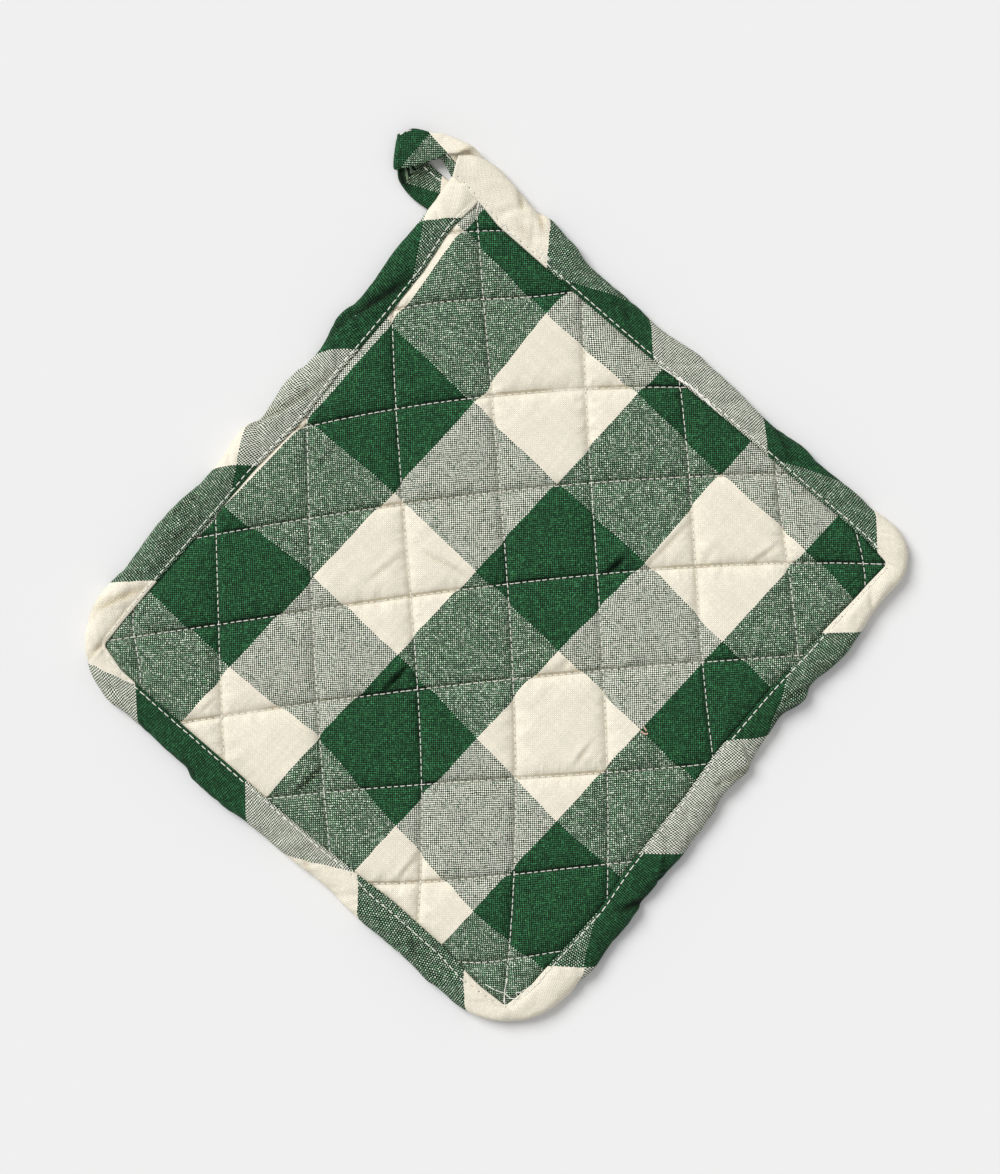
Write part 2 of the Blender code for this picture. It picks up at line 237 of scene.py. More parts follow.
def weave_group():
    group, wires, given, out = new_group(
        "Plain weave gingham",
        [("Checks", "NodeSocketVector", None),
         ("Place", "NodeSocketVector", None),
         ("Green", "NodeSocketColor", GREEN_YARN),
         ("Cream", "NodeSocketColor", CREAM_YARN),
         ("Cream over green", "NodeSocketColor", CREAM_OVER_GREEN),
         ("Cream under green", "NodeSocketColor", CREAM_UNDER_GREEN),
         ("Proudness", "NodeSocketFloat", 0.41),
         ("Green fullness", "NodeSocketFloat", 0.58),
         ("Unevenness", "NodeSocketFloat", 1.05),
         # Grain: how strongly each crossing's random tone and painted light and shade show, most on dark
         # yarn.
         ("Grain", "NodeSocketFloat", 1.35),
         ("Gap shade", "NodeSocketFloat", 0.3)],
        [("Colour", "NodeSocketColor"), ("Height", "NodeSocketFloat")],
    )
    maths = wires.maths

    # The yarns wander a little, so that neither the checks nor the rows are ruled straight.
    straight = wires.parts("XYZ", given["Checks"])
    drift = wires.parts("Color", wires.blotches(given["Place"], WANDER_SCALE, output="Color"))
    across = maths("MULTIPLY_ADD", drift[0], YARN_WANDER, straight[0])
    down = maths("MULTIPLY_ADD", drift[1], YARN_WANDER, straight[1])

    def yarn(place):
        """A yarn's number, whether it is green (1) or cream (0), and its roundness at a place."""
        way = maths("MULTIPLY", place, THREADS_IN_A_CHECK)
        number = maths("FLOOR", way)
        check = maths("FLOOR", maths("DIVIDE", maths("ADD", number, 0.5), THREADS_IN_A_CHECK))
        green = maths("LESS_THAN", maths("FLOORED_MODULO", check, 2.0), 0.5)
        return number, green, maths("SINE", maths("MULTIPLY", maths("FRACT", way), math.pi))

    # The yarns of the two sets, called rows and picks, and which one lies on top at a crossing.
    row_number, row_green, row_bulge = yarn(across)
    pick_number, pick_green, pick_bulge = yarn(down)
    odd = maths("FLOORED_MODULO", maths("ADD", row_number, pick_number), 2.0)
    side = maths("MULTIPLY_ADD", odd, 1.0, -0.5)

    # Slubs: every yarn swells and thins along its length, each in its own way.
    row_apart = maths("MULTIPLY", row_number, SLUBS_APART)
    pick_apart = maths("MULTIPLY", pick_number, SLUBS_APART)
    on_row = wires.spot(row_apart, maths("MULTIPLY", down, SLUBS_IN_A_CHECK))
    on_pick = wires.spot(maths("MULTIPLY", across, SLUBS_IN_A_CHECK), pick_apart, 5.0)
    slub = maths("SUBTRACT", wires.blotches(on_row, 1.0), wires.blotches(on_pick, 1.0))
    slub = maths("MULTIPLY", slub, given["Unevenness"])

    # No two crossings lie alike: each is tighter or looser, fuller or more sunk than the next.
    # Its colour is made lighter or darker: tone that differs at random, and painted light on full
    # crowns and painted shade on sunk crossings, alternating from one crossing to the next.
    crossing = wires.spot(row_number, pick_number)
    chances = wires.parts("Color", wires.chance("2D", "Vector", crossing)["Color"])
    sunk = maths("MULTIPLY", row_green, maths("SUBTRACT", 1.0, pick_green))
    crown = maths("MULTIPLY", maths("MULTIPLY_ADD", odd, 2.0, -1.0), maths("MULTIPLY_ADD", sunk, -2.0, 1.0))
    crown = maths("MULTIPLY", crown, maths("ADD", chances[2], 0.5))
    crossing_light = maths("MULTIPLY_ADD", maths("POWER", chances[0], 4.0), 1.6, -0.38)
    crossing_light = maths("ADD", crossing_light, crown)
    looseness = maths("MULTIPLY", maths("SUBTRACT", chances[1], 0.5), given["Unevenness"])

    row_top = maths("MULTIPLY_ADD", row_bulge, 0.5, maths("MULTIPLY", side, pick_bulge))
    pick_top = maths("SUBTRACT", maths("MULTIPLY", pick_bulge, 0.5), maths("MULTIPLY", side, row_bulge))
    push = maths("ADD", maths("ADD", slub, looseness), given["Proudness"])
    push = maths("MULTIPLY_ADD", maths("SUBTRACT", row_green, pick_green), given["Green fullness"], push)
    push = maths("MAXIMUM", maths("MINIMUM", push, 0.95), -0.93)
    lead = maths("ADD", maths("SUBTRACT", row_top, pick_top), push)
    row_shows = wires.ramp(lead, -0.05, 0.05, interpolation_type="SMOOTHSTEP")
    height = maths("MAXIMUM", row_top, pick_top)

    row_cream = wires.mix(pick_green, given["Cream"], given["Cream over green"])
    pick_cream = wires.mix(row_green, given["Cream"], given["Cream under green"])
    row_colour = wires.mix(row_green, row_cream, given["Green"])
    pick_colour = wires.mix(pick_green, pick_cream, given["Green"])
    colour = wires.mix(row_shows, pick_colour, row_colour)

    # Each yarn took the dye a little differently, and the gaps between them lie in shade.
    row_dye = wires.chance("1D", "W", row_number)["Value"]
    pick_dye = wires.chance("1D", "W", maths("ADD", pick_number, 517.0))["Value"]
    tone = maths("MULTIPLY_ADD", maths("ADD", row_dye, pick_dye), 0.05, 0.95)
    grey = wires.node("ShaderNodeRGBToBW")
    wires.feed(grey.inputs[0], colour)
    paleness = wires.ramp(grey.outputs[0], 0.05, 0.75)
    gap_shade = maths("MULTIPLY_ADD", paleness, 0.4, given["Gap shade"])
    gap = wires.ramp(height, 0.15, 0.75, gap_shade, 1.08)
    crossing_light_strength = maths("MULTIPLY_ADD", maths("SUBTRACT", 1.0, paleness), given["Grain"], 0.06)
    depth = maths("MAXIMUM", maths("MULTIPLY_ADD", crossing_light, crossing_light_strength, 1.0), 0.06)
    # The colour: the dye's tone, painted shade in the gaps between yarns, each crossing's painted light and
    # shade.
    wires.feed(out["Colour"], wires.dim(colour, maths("MULTIPLY", maths("MULTIPLY", tone, gap), depth)))
    wires.feed(out["Height"], maths("ADD", height, maths("MULTIPLY", slub, 0.2)))
    return group


WEAVE = weave_group()


def in_shade(wires, plain, lit):
    """A cloth's colour in a groove: light that bounces about there comes out warmer on cream."""
    deep = wires.maths("SUBTRACT", 1.0, lit)
    bounced = wires.dim(wires.mix(1.0, plain, plain, "MULTIPLY"), deep)
    return wires.mix(WARM_BOUNCE, wires.dim(plain, lit), bounced, "ADD")


def gingham(name, green=GREEN_YARN, cream=CREAM_YARN, **amounts):
    """A gingham material: the weave's colours and the small relief of its yarns."""
    made, shader = plain_material(name, green, 0.88)
    shader.inputs["Specular IOR Level"].default_value = 0.2
    shader.inputs["Sheen Weight"].default_value = 0.03
    shader.inputs["Sheen Roughness"].default_value = 0.45
    wires = Wires(made.node_tree)
    checks = wires.node("ShaderNodeUVMap", uv_map="checks").outputs[0]
    place = wires.node("ShaderNodeTexCoord").outputs["Object"]
    weave = wires.node("ShaderNodeGroup", node_tree=WEAVE)
    wires.feed(weave.inputs["Checks"], checks)
    wires.feed(weave.inputs["Place"], place)
    weave.inputs["Green"].default_value = green
    weave.inputs["Cream"].default_value = cream
    for label, value in amounts.items():
        weave.inputs[label.replace("_", " ")].default_value = value
    # Painted shade in creases, folds and beside the lip, read from each mesh's crease attribute, darkens
    # the weave.
    crease = wires.node("ShaderNodeAttribute", attribute_name="crease").outputs["Fac"]
    shaded = in_shade(wires, weave.outputs["Colour"], wires.maths("SUBTRACT", 1.0, crease))
    wires.feed(shader.inputs["Base Color"], shaded)
    relief = wires.bump(weave.outputs["Height"], 0.6, WEAVE_DEPTH)
    wires.feed(shader.inputs["Normal"], relief.outputs[0])
    return made


# ---------------------------------------------------------------------------------------
# The quilted pad. Front cloth, wadding and back cloth are sewn through along nine seams each
# way, so the cloth puffs between the seams and puckers along them. Its grid follows the
# seams, and a cloth simulation fills it. Sizes are in millimetres from the pad's middle.
# ---------------------------------------------------------------------------------------
CORNERS = ("loop", "far", "toe", "near")

# Corners of the bound edge, corners of the panel inside the binding's lip, and how far each of
# them is rounded. A side is named by the corner that it starts from.
BOUND_EDGE = {
    "loop": (-106.2, 112.0),
    "far": (103.5, 110.2),
    "toe": (112.6, -117.4),
    "near": (-104.6, -116.8),
}
PANEL = {
    "loop": (-95.0, 100.2),
    "far": (96.7, 98.9),
    "toe": (97.7, -106.6),
    "near": (-92.1, -103.7),
}
EDGE_RADIUS = {"loop": 5.0, "far": 14.0, "toe": 31.0, "near": 29.0}
PANEL_RADIUS = dict.fromkeys(CORNERS, 2.0)

# Ripples of the bound edge and bows of the panel's sides, a row for each crest or hollow:
# millimetres along the side from its first corner, and millimetres that it stands out there.
EDGE_RIPPLES = {
    "loop": ((6, 1.1), (16, 0.6), (27, -0.5), (35, 0.4), (45, -0.5), (56, -2.8), (76, -2.3), (87, -2.9),
             (106, -0.7), (125, -1.2), (138, -2.2), (155, -0.7), (162, -1.4), (175, -0.7), (188, -0.7)),
    "far": ((23, -0.6), (45, 1.1), (62, -1.6), (67, 0.0), (77, -2.9), (92, -1.9), (98, 0.0), (109, -1.6),
            (120, 0.0), (136, 0.5), (154, -0.2), (168, 0.7), (178, 0.5), (186, 1.2), (197, 0.0)),
    "toe": ((33, -0.6), (42, 0.3), (52, -0.4), (75, -0.1), (93, -1.1), (106, -0.1), (125, 0.2),
            (138, 1.5), (150, 1.4), (156, -0.4), (178, -0.6), (188, -1.6)),
    "near": ((36, -0.8), (60, 0.6), (86, -1.7), (102, 0.0), (112, -2.6), (126, -1.0), (140, -2.9),
             (155, -0.2), (166, -1.8), (190, 0.0), (205, -0.2)),
}
PANEL_BOWS = {
    "loop": ((27, -1.5), (60, -1.3), (138, 0.6), (182, 1.0)),
    "far": ((12, -0.5), (36, -1.4), (65, -2.4), (85, -2.3), (115, -0.4), (135, 0.3), (160, 2.6),
            (188, 1.9)),
    "toe": ((12, 0.6), (32, -1.1), (53, -1.1), (73, 0.2), (93, 1.2), (112, 1.6), (165, 2.2)),
    "near": ((24, 0.3), (50, -0.2), (77, -0.5), (107, -2.2), (130, -1.4), (151, -1.5), (168, -1.0),
             (193, 1.2)),
}
RIPPLE_FADE = 9.0       # the ripples fade out this near to the corners
SIDE_STEPS = 345
ARC_STEPS = 24


def smooth_row(rows, along):
    """The height of a smooth wave through the rows' crests and hollows."""
    if along <= rows[0][0]:
        return rows[0][1]
    for (start, low), (end, high) in zip(rows, rows[1:]):
        if along <= end:
            share = (along - start) / (end - start)
            return low + (high - low) * (1 - math.cos(math.pi * share)) / 2
    return rows[-1][1]


def corner_arc(corner, before, after, radius):
    """Points round a corner, between the sides that run to the points before and after it."""
    back = (before - corner).normalized() * radius
    on = (after - corner).normalized() * radius
    turns = [math.pi / 2 * step / ARC_STEPS for step in range(ARC_STEPS + 1)]
    return [corner + back * (1 - math.sin(turn)) + on * (1 - math.cos(turn)) for turn in turns]


def edge_walk(corners, radii, waves):
    """A closed walk of points round the four sides, from the middle of the loop's corner."""
    spots = [Vector(corners[name]) for name in CORNERS]
    arcs = [corner_arc(spots[i], spots[i - 1], spots[(i + 1) % 4], radii[name])
            for i, name in enumerate(CORNERS)]
    half = ARC_STEPS // 2
    walk = []
    for i, name in enumerate(CORNERS):
        following = (i + 1) % 4
        along = (spots[following] - spots[i]).normalized()
        outwards = Vector((-along.y, along.x))
        start = arcs[i][-1]
        end = arcs[following][0]
        walk += arcs[i][half:]
        for step in range(1, SIDE_STEPS):
            point = start.lerp(end, step / SIDE_STEPS)
            from_ends = min((point - start).length, (point - end).length)
            wave = smooth_row(waves[name], (point - spots[i]).dot(along))
            walk.append(point + outwards * wave * min(from_ends / RIPPLE_FADE, 1))
        walk += arcs[following][:half]
    return walk


LIP = edge_walk(PANEL, PANEL_RADIUS, PANEL_BOWS)
EDGE = edge_walk(BOUND_EDGE, EDGE_RADIUS, EDGE_RIPPLES)
PAD_EDGE_SHARE = 0.76   # how far the pad reaches from the lip to the bound edge
HELD_TOP = 4.4          # heights of the pad's two faces where the binding holds them
HELD_BOTTOM = 1.6
SEAM_TOP = 5.3          # and along the seams, well clear of the binding
SEAM_BOTTOM = 1.2

# Seams, a row for each: where it starts and ends along the diagonal that it follows, then how
# far it lies from the pad's middle at five even steps between the two.
SEAMS_DOWN = (
    (-6.0, -30.1, -126.7, -126.7, -125.8, -124.6, -124.3),
    (26.6, -54.3, -97.8, -97.3, -96.7, -96.0, -95.0),
    (62.0, -90.0, -65.8, -65.1, -63.4, -61.3, -57.8),
    (95.2, -118.3, -35.9, -32.9, -28.8, -25.6, -27.5),
    (137.9, -143.9, -6.5, -1.3, 5.5, 6.8, 3.0),
    (103.3, -106.8, 30.6, 32.6, 37.0, 38.7, 39.4),
    (75.3, -59.5, 64.5, 68.1, 70.4, 73.0, 76.8),
    (43.8, -22.8, 98.6, 100.1, 103.0, 104.5, 106.4),
    (23.5, 1.8, 126.2, 127.6, 128.8, 129.5, 129.7),
)
SEAMS_ACROSS = (
    (-14.0, 6.0, 126.9, 127.2, 127.6, 127.6, 127.4),
    (-33.3, 25.6, 100.1, 102.6, 103.6, 104.3, 106.1),
    (-70.0, 65.5, 57.9, 64.6, 69.9, 71.8, 72.8),
    (-104.7, 101.5, 20.0, 27.9, 36.8, 39.6, 42.4),
    (-137.2, 137.9, -16.1, -6.7, 4.2, 9.2, 10.9),
    (-110.3, 107.1, -44.8, -37.4, -29.4, -25.7, -21.0),
    (-80.2, 76.7, -71.5, -67.6, -64.8, -62.4, -59.0),
    (-45.2, 49.7, -101.3, -100.4, -98.4, -95.8, -93.3),
    (-14.0, 25.2, -128.5, -128.5, -127.8, -125.9, -124.6),
)
SEAM_SPACING = 30.0
STEPS_BETWEEN_SEAMS = 20
SETTLING_ROUNDS = 12    # a place is moved to where its two lines cross in this many rounds
BANDS = len(SEAMS_DOWN) + 1


def seam_lines(rows, outwards):
    """The seams as smooth curves, with one more line outside each of the outer two."""
    curves = []
    for row in rows:
        shares = np.linspace(0, 1, len(row) - 2)
        curves.append((row[0], row[1], np.polyfit(shares, row[2:], 3)))
    first, last = curves[0], curves[-1]
    before = (first[0], first[1], first[2] - [0, 0, 0, SEAM_SPACING * outwards])
    after = (last[0], last[1], last[2] + [0, 0, 0, SEAM_SPACING * outwards])
    return [before, *curves, after]


DOWN_LINES = seam_lines(SEAMS_DOWN, 1)
ACROSS_LINES = seam_lines(SEAMS_ACROSS, -1)


def line_offset(line, along):
    """How far a line lies from the pad's middle at a place along its diagonal."""
    share = np.clip((along - line[0]) / (line[1] - line[0]), 0, 1)
    return np.polyval(line[2], share)


def in_band(lines, number, along):
    """Offset of a place between two neighbouring lines: number counts lines, with its share."""
    low = np.minimum(np.floor(number).astype(int), len(lines) - 2)
    share = number - low
    offsets = np.array([line_offset(line, along) for line in lines])
    places = np.arange(len(number))
    return offsets[low, places] * (1 - share) + offsets[low + 1, places] * share


def seam_grid(column, row):
    """Right and up, along the diagonals, of the grid's places; seams lie on whole numbers."""
    right = (column - BANDS / 2) * SEAM_SPACING
    up = (BANDS / 2 - row) * SEAM_SPACING
    for _ in range(SETTLING_ROUNDS):
        right, up = in_band(DOWN_LINES, column, up), in_band(ACROSS_LINES, row, right)
    return right, up


def from_diagonals(right, up):
    """The frame's millimetres from the pad's middle, from right and up in the picture."""
    return (right * math.cos(DIAGONAL_TURN) - up * math.sin(DIAGONAL_TURN),
            right * math.sin(DIAGONAL_TURN) + up * math.cos(DIAGONAL_TURN))


def to_diagonals(x, y):
    """Right and up in the picture, from the frame's millimetres from the pad's middle."""
    return (x * math.cos(DIAGONAL_TURN) + y * math.sin(DIAGONAL_TURN),
            y * math.cos(DIAGONAL_TURN) - x * math.sin(DIAGONAL_TURN))


def depth_inside(walk, x, y):
    """How far places lie inside a closed walk of points; negative outside it."""
    points = np.array([(point.x, point.y) for point in walk])
    following = np.roll(points, -1, axis=0)
    nearest = np.full(len(x), np.inf)
    crossings = np.zeros(len(x), int)
    for (ax, ay), (bx, by) in zip(points, following):
        dx, dy = bx - ax, by - ay
        share = np.clip(((x - ax) * dx + (y - ay) * dy) / (dx * dx + dy * dy), 0, 1)
        nearest = np.minimum(nearest, np.hypot(x - ax - share * dx, y - ay - share * dy))
        if ay != by:
            hit = (ay > y) != (by > y)
            crossings += hit & (x < ax + (y - ay) / (by - ay) * dx)
    return np.where(crossings % 2 == 1, nearest, -nearest)


def show(name, mesh, material):
    """A new object of that mesh, material and name, smooth shaded and linked to the scene."""
    for polygon in mesh.polygons:
        polygon.use_smooth = True
    mesh.materials.append(material)
    made = bpy.data.objects.new(name, mesh)
    bpy.context.scene.collection.objects.link(made)
    return made


PAD_OUTLINE = [inner.lerp(outer, PAD_EDGE_SHARE) for inner, outer in zip(LIP, EDGE)]


def seam_sheet(name):
    """A flat grid whose lines follow the seams, trimmed to the pad's outline under the binding."""
    cells = BANDS * STEPS_BETWEEN_SEAMS
    bm = bmesh.new()
    bmesh.ops.create_grid(bm, x_segments=cells, y_segments=cells, size=BANDS / 2)
    grid = np.array([vert.co[:2] for vert in bm.verts])
    column = np.round((grid[:, 0] + BANDS / 2) * STEPS_BETWEEN_SEAMS) / STEPS_BETWEEN_SEAMS
    row = np.round((BANDS / 2 - grid[:, 1]) * STEPS_BETWEEN_SEAMS) / STEPS_BETWEEN_SEAMS
    right, up = seam_grid(column, row)
    x, y = from_diagonals(right, up)
    inside = depth_inside(PAD_OUTLINE, x, y)
    on_seam = (column % 1 == 0) | (row % 1 == 0)
    layer = bm.verts.layers.float.new("sewn")
    for vert, px, py, sewn in zip(bm.verts, x, y, on_seam):
        vert.co = (px, py, 0.0)
        vert[layer] = float(sewn)
    seams = bm.loops.layers.uv.new("seams")
    places = {vert: (c, r) for vert, c, r in zip(bm.verts, column, row)}
    for face in bm.faces:
        for loop in face.loops:
            loop[seams].uv = places[loop.vert]
    outside = [vert for vert, depth in zip(bm.verts, inside) if depth < 0]
    bmesh.ops.delete(bm, geom=outside, context="VERTS")
    stray = [vert for vert in bm.verts if not vert.link_faces]
    bmesh.ops.delete(bm, geom=stray, context="VERTS")
    mesh = bpy.data.meshes.new(name)
    bm.to_mesh(mesh)
    bm.free()
    return mesh


PUFF_REACH = 4.5        # how quickly the cloth rises from a seam, and how much quicker from the lip
LIP_QUICKER = 1.4


def stitched_down(seam_clear, lip_depth):
    """How far the seams let the cloth rise: 0 on a seam or at the binding, 1 well clear."""
    clear = np.minimum(seam_clear, np.maximum(lip_depth, 0) * LIP_QUICKER)
    return 1 - np.exp(-clear / PUFF_REACH)


SEAMS_APART = 500.0     # keeps the puckers of one seam unlike the next one's


def seam_distance(x, y):
    """Distance from places to the nearest seam, and how far along that seam they lie."""
    right, up = to_diagonals(x, y)
    best = np.full(len(x), np.inf)
    along_best = np.zeros(len(x))
    for lines, along, across in ((DOWN_LINES, up, right), (ACROSS_LINES, right, up)):
        for number, line in enumerate(lines[1:-1]):
            clear = np.abs(across - line_offset(line, along))
            closer = clear < best
            best = np.where(closer, clear, best)
            along_best = np.where(closer, along + SEAMS_APART * number, along_best)
    return best, along_best


SIM_SCALE = 10.0      # the cloth solver is steadier on a piece of a couple of metres
SIM_FRAMES = 26
CLOTH_GROWTH = 0.022  # spare cloth that the wadding takes up
PUFF_PRESSURE = 3.0
CLOTH_SETTINGS = {
    "quality": 6, "mass": 0.25, "tension_stiffness": 25, "compression_stiffness": 25,
    "shear_stiffness": 8, "bending_stiffness": 0.35, "air_damping": 2.0,
    "vertex_group_mass": "held", "pin_stiffness": 1.0, "shrink_min": -CLOTH_GROWTH,
    "shrink_max": -CLOTH_GROWTH, "use_pressure": True, "uniform_pressure_force": PUFF_PRESSURE,
}


def fill(sheet, held):
    """Let the wadding push the sheet up while its held places stay: a cloth simulation."""
    trial = bpy.data.objects.new("filling_trial", sheet)
    bpy.context.scene.collection.objects.link(trial)
    group = trial.vertex_groups.new(name="held")
    group.add([int(index) for index in np.flatnonzero(held)], 1.0, "REPLACE")
    cloth = trial.modifiers.new("cloth", "CLOTH")
    for label, value in CLOTH_SETTINGS.items():
        setattr(cloth.settings, label, value)
    cloth.settings.effector_weights.gravity = 0.0
    cloth.collision_settings.use_collision = False
    cloth.collision_settings.use_self_collision = False
    cloth.point_cache.frame_start = 1
    cloth.point_cache.frame_end = SIM_FRAMES
    scene = bpy.context.scene
    for number in range(1, SIM_FRAMES + 1):
        scene.frame_set(number)
    filled = worked_mesh(trial)
    bpy.data.objects.remove(trial)
    scene.frame_set(1)
    return filled


def worked_mesh(made):
    """A new mesh of an object as its modifiers leave it."""
    return bpy.data.meshes.new_from_object(made.evaluated_get(bpy.context.evaluated_depsgraph_get()))


def sheet_places(mesh, scale=1.0):
    """The places of a mesh's vertices, a row for each, divided by the scale."""
    flat = np.empty(len(mesh.vertices) * 3)
    mesh.vertices.foreach_get("co", flat)
    return flat.reshape(-1, 3) / scale


def put_places(mesh, spots, scale=1.0):
    """Move a mesh's vertices to the places given, times the scale."""
    mesh.vertices.foreach_set("co", (spots * scale).ravel())
    mesh.update()


LIP_SLOPE = 6.0       # the seams come down to the binding over this distance
HELD_REACH = 0.8      # the binding holds the cloth as far as this inside its lip
FIRST_PUFF = 1.6      # height that the puffs start with, before they are filled

sheet = seam_sheet("quilted_pad")
start_shape = sheet_places(sheet)
sewn = np.empty(len(sheet.vertices))
sheet.attributes["sewn"].data.foreach_get("value", sewn)
lip_depth = depth_inside(LIP, start_shape[:, 0], start_shape[:, 1])
seam_clear = seam_distance(start_shape[:, 0], start_shape[:, 1])[0]
off_lip = np.clip(lip_depth / LIP_SLOPE, 0, 1)
seam_level = HELD_TOP + (SEAM_TOP - HELD_TOP) * off_lip
held = (sewn > 0.5) | (lip_depth < HELD_REACH)
start_shape[:, 2] = seam_level + FIRST_PUFF * stitched_down(seam_clear, lip_depth)
start_shape[held, 2] = seam_level[held]
put_places(sheet, start_shape, MM * SIM_SCALE)
filled = fill(sheet, held)
filled_shape = sheet_places(filled, MM * SIM_SCALE)
puff = filled_shape[:, 2] - seam_level

# The wadding is thin: each puff rises quickly from its seams and is nearly flat on top.
FLAT_TOP = 1.95
TOP_SOFTNESS = 0.55
puff = FLAT_TOP * (1 - np.exp(-np.maximum(puff, 0) / (FLAT_TOP * TOP_SOFTNESS)))
filled_shape[:, 2] = seam_level + puff

# The back lies on the table: its puffs are pressed flat there and its seams stay clear.
BACK_PUFF = 0.95
back_shape = filled_shape.copy()
seam_floor = HELD_BOTTOM + (SEAM_BOTTOM - HELD_BOTTOM) * off_lip
back_shape[:, 2] = np.maximum(seam_floor - BACK_PUFF * puff, 0.0)
back_mesh = filled.copy()
put_places(back_mesh, back_shape, MM)
put_places(filled, filled_shape, MM)

# The front is made twice as fine before its creases go in.
coarse = bpy.data.objects.new("front_coarse", filled)
bpy.context.scene.collection.objects.link(coarse)
finer = coarse.modifiers.new("finer", "SUBSURF")
finer.levels = finer.render_levels = 1
front_mesh = worked_mesh(coarse)
bpy.data.objects.remove(coarse)

bm = bmesh.new()
bm.from_mesh(back_mesh)
bmesh.ops.reverse_faces(bm, faces=bm.faces[:])
bm.from_mesh(front_mesh)
rims = [link for link in bm.edges if link.is_boundary]
bmesh.ops.bridge_loops(bm, edges=rims)
bmesh.ops.recalc_face_normals(bm, faces=bm.faces[:])
pad_mesh = bpy.data.meshes.new("quilted_pad")
bm.to_mesh(pad_mesh)
bm.free()
for spare in (filled, back_mesh, front_mesh):
    bpy.data.meshes.remove(spare)

# Puckers stand across the seams where the thread gathers the cloth, and the thread itself has
# cut a narrow groove between them.
FRONT_ABOVE = 3.2       # whatever of the pad lies higher than this is its front
FADE_REACH = 2.5        # relief fades out this near to the lip or to a seam
PUCKER_REACH = 3.6
PUCKER_HEIGHT = 0.68
PUCKER_PITCH = 4.2      # coarse and fine puckers: strength, pitch, length and a number for their pattern
PUCKER_WAVES = ((1.0, PUCKER_PITCH, 9.0, 11.0), (0.6, PUCKER_PITCH * 0.45, 6.0, 23.0))
GROOVE_DEPTH = 0.55
GROOVE_WIDTH = 0.9


def roughness_at(x, y, seed):
    """Smooth uneven values about 0, one for each place."""
    return np.array([noise.noise(Vector((px, py, seed))) for px, py in zip(x, y)])


shape = sheet_places(pad_mesh, MM)
on_front = shape[:, 2] > FRONT_ABOVE
front_x, front_y, front_z = shape[on_front].T
clear, along_seam = seam_distance(front_x, front_y)
front_lip = depth_inside(LIP, front_x, front_y)
lip_clear = np.clip(front_lip / FADE_REACH, 0, 1)
ridges = sum(share * roughness_at(along_seam / pitch, clear / length, seed)
             for share, pitch, length, seed in PUCKER_WAVES)
near_seam = np.exp(-clear / PUCKER_REACH) * (1 - np.exp(-clear / GROOVE_WIDTH))
front_z = front_z + PUCKER_HEIGHT * ridges * near_seam * lip_clear
front_z -= GROOVE_DEPTH * np.exp(-((clear / GROOVE_WIDTH) ** 2)) * lip_clear

# Fine ripples run down to the left over the whole front, and a few creases were pressed in, with
# painted shade in their troughs: right and up of each crease's ends from the pad's middle, its
# depth and its half width.
RIPPLES = 0.27          # their height; the waves are strength, width, length and a pattern's number
RIPPLE_WAVES = ((1.0, 5.2, 21.0, 31.0), (0.5, 2.6, 12.0, 37.0))
RIPPLE_PATCH = 26.0     # the ripples are stronger and weaker in patches of about this size
RIPPLE_STRENGTH = 0.55
RIPPLE_LIMITS = (0.15, 1.3)
CREASES = (
    (-25.2, 15.4, -9.1, 6.3, 0.5, 0.9), (-44.1, 4.9, -32.6, 14.0, 0.4, 1.0),
    (88.9, 10.5, 98.7, 17.2, 0.5, 0.9), (53.2, 9.8, 68.3, 25.6, 0.5, 1.0),
    (-34.3, -100.1, -27.3, -91.4, 0.5, 0.9), (-102.6, -41.0, -96.9, -35.4, 0.4, 0.8),
    (28.4, -58.8, 33.3, -52.2, 0.5, 0.9), (39.2, 7.8, 45.5, 13.2, 1.5, 1.0),
    (-38.1, -32.8, -30.6, -25.0, 1.5, 1.0), (-69.3, -68.9, -60.8, -60.6, 1.5, 1.0),
    (-19.0, 31.0, -8.0, 38.0, 0.3, 1.1), (-2.0, -70.0, 9.0, -60.0, 0.3, 1.1),
    (20.0, -28.0, 31.0, -19.0, 0.3, 1.2), (-63.0, 44.0, -55.0, 52.0, 0.4, 1.0),
    (60.0, -30.0, 70.0, -22.0, 0.3, 1.1),
)
CREASE_TIP = 0.08       # how little a crease starts with at its ends
CREASE_FULLNESS = 0.7   # the smaller, the sooner it deepens from there
CREASE_RUN_OUT = 1.5    # how far it runs out beyond them
RIDGE_HEIGHT = 0.5      # the ridge's height, in depths of the trough beside it
RIDGE_OFFSET = 1.6      # its distance from the trough, in half widths
SHADE_OF_DEPTH = 0.8    # shade for each millimetre of depth, as far as the full shade
FULL_SHADE = 1.05
MOST_SHADE = 0.94       # no cloth gets darker than this


def pressed_creases(across, up, rows):
    """Height and shade that creases give to places: a trough, with a low ridge beside it."""
    height, shade = np.zeros(across.shape), np.zeros(across.shape)
    for first_across, first_up, last_across, last_up, depth, half_width in rows:
        length = math.hypot(last_across - first_across, last_up - first_up)
        way_across, way_up = (last_across - first_across) / length, (last_up - first_up) / length
        along = (across - first_across) * way_across + (up - first_up) * way_up
        aside = (up - first_up) * way_across - (across - first_across) * way_up
        share = np.clip(along / length, 0, 1)
        fade = np.sin(np.pi * (CREASE_TIP + (1 - 2 * CREASE_TIP) * share)) ** CREASE_FULLNESS
        fade *= np.exp(-(((along - share * length) / CREASE_RUN_OUT) ** 2))
        trough = fade * np.exp(-((aside / half_width) ** 2))
        ridge = fade * np.exp(-(((aside - RIDGE_OFFSET * half_width) / half_width) ** 2))
        height += depth * (RIDGE_HEIGHT * ridge - trough)
        shade = np.maximum(shade, min(depth * SHADE_OF_DEPTH, FULL_SHADE) * trough)
    return height, shade


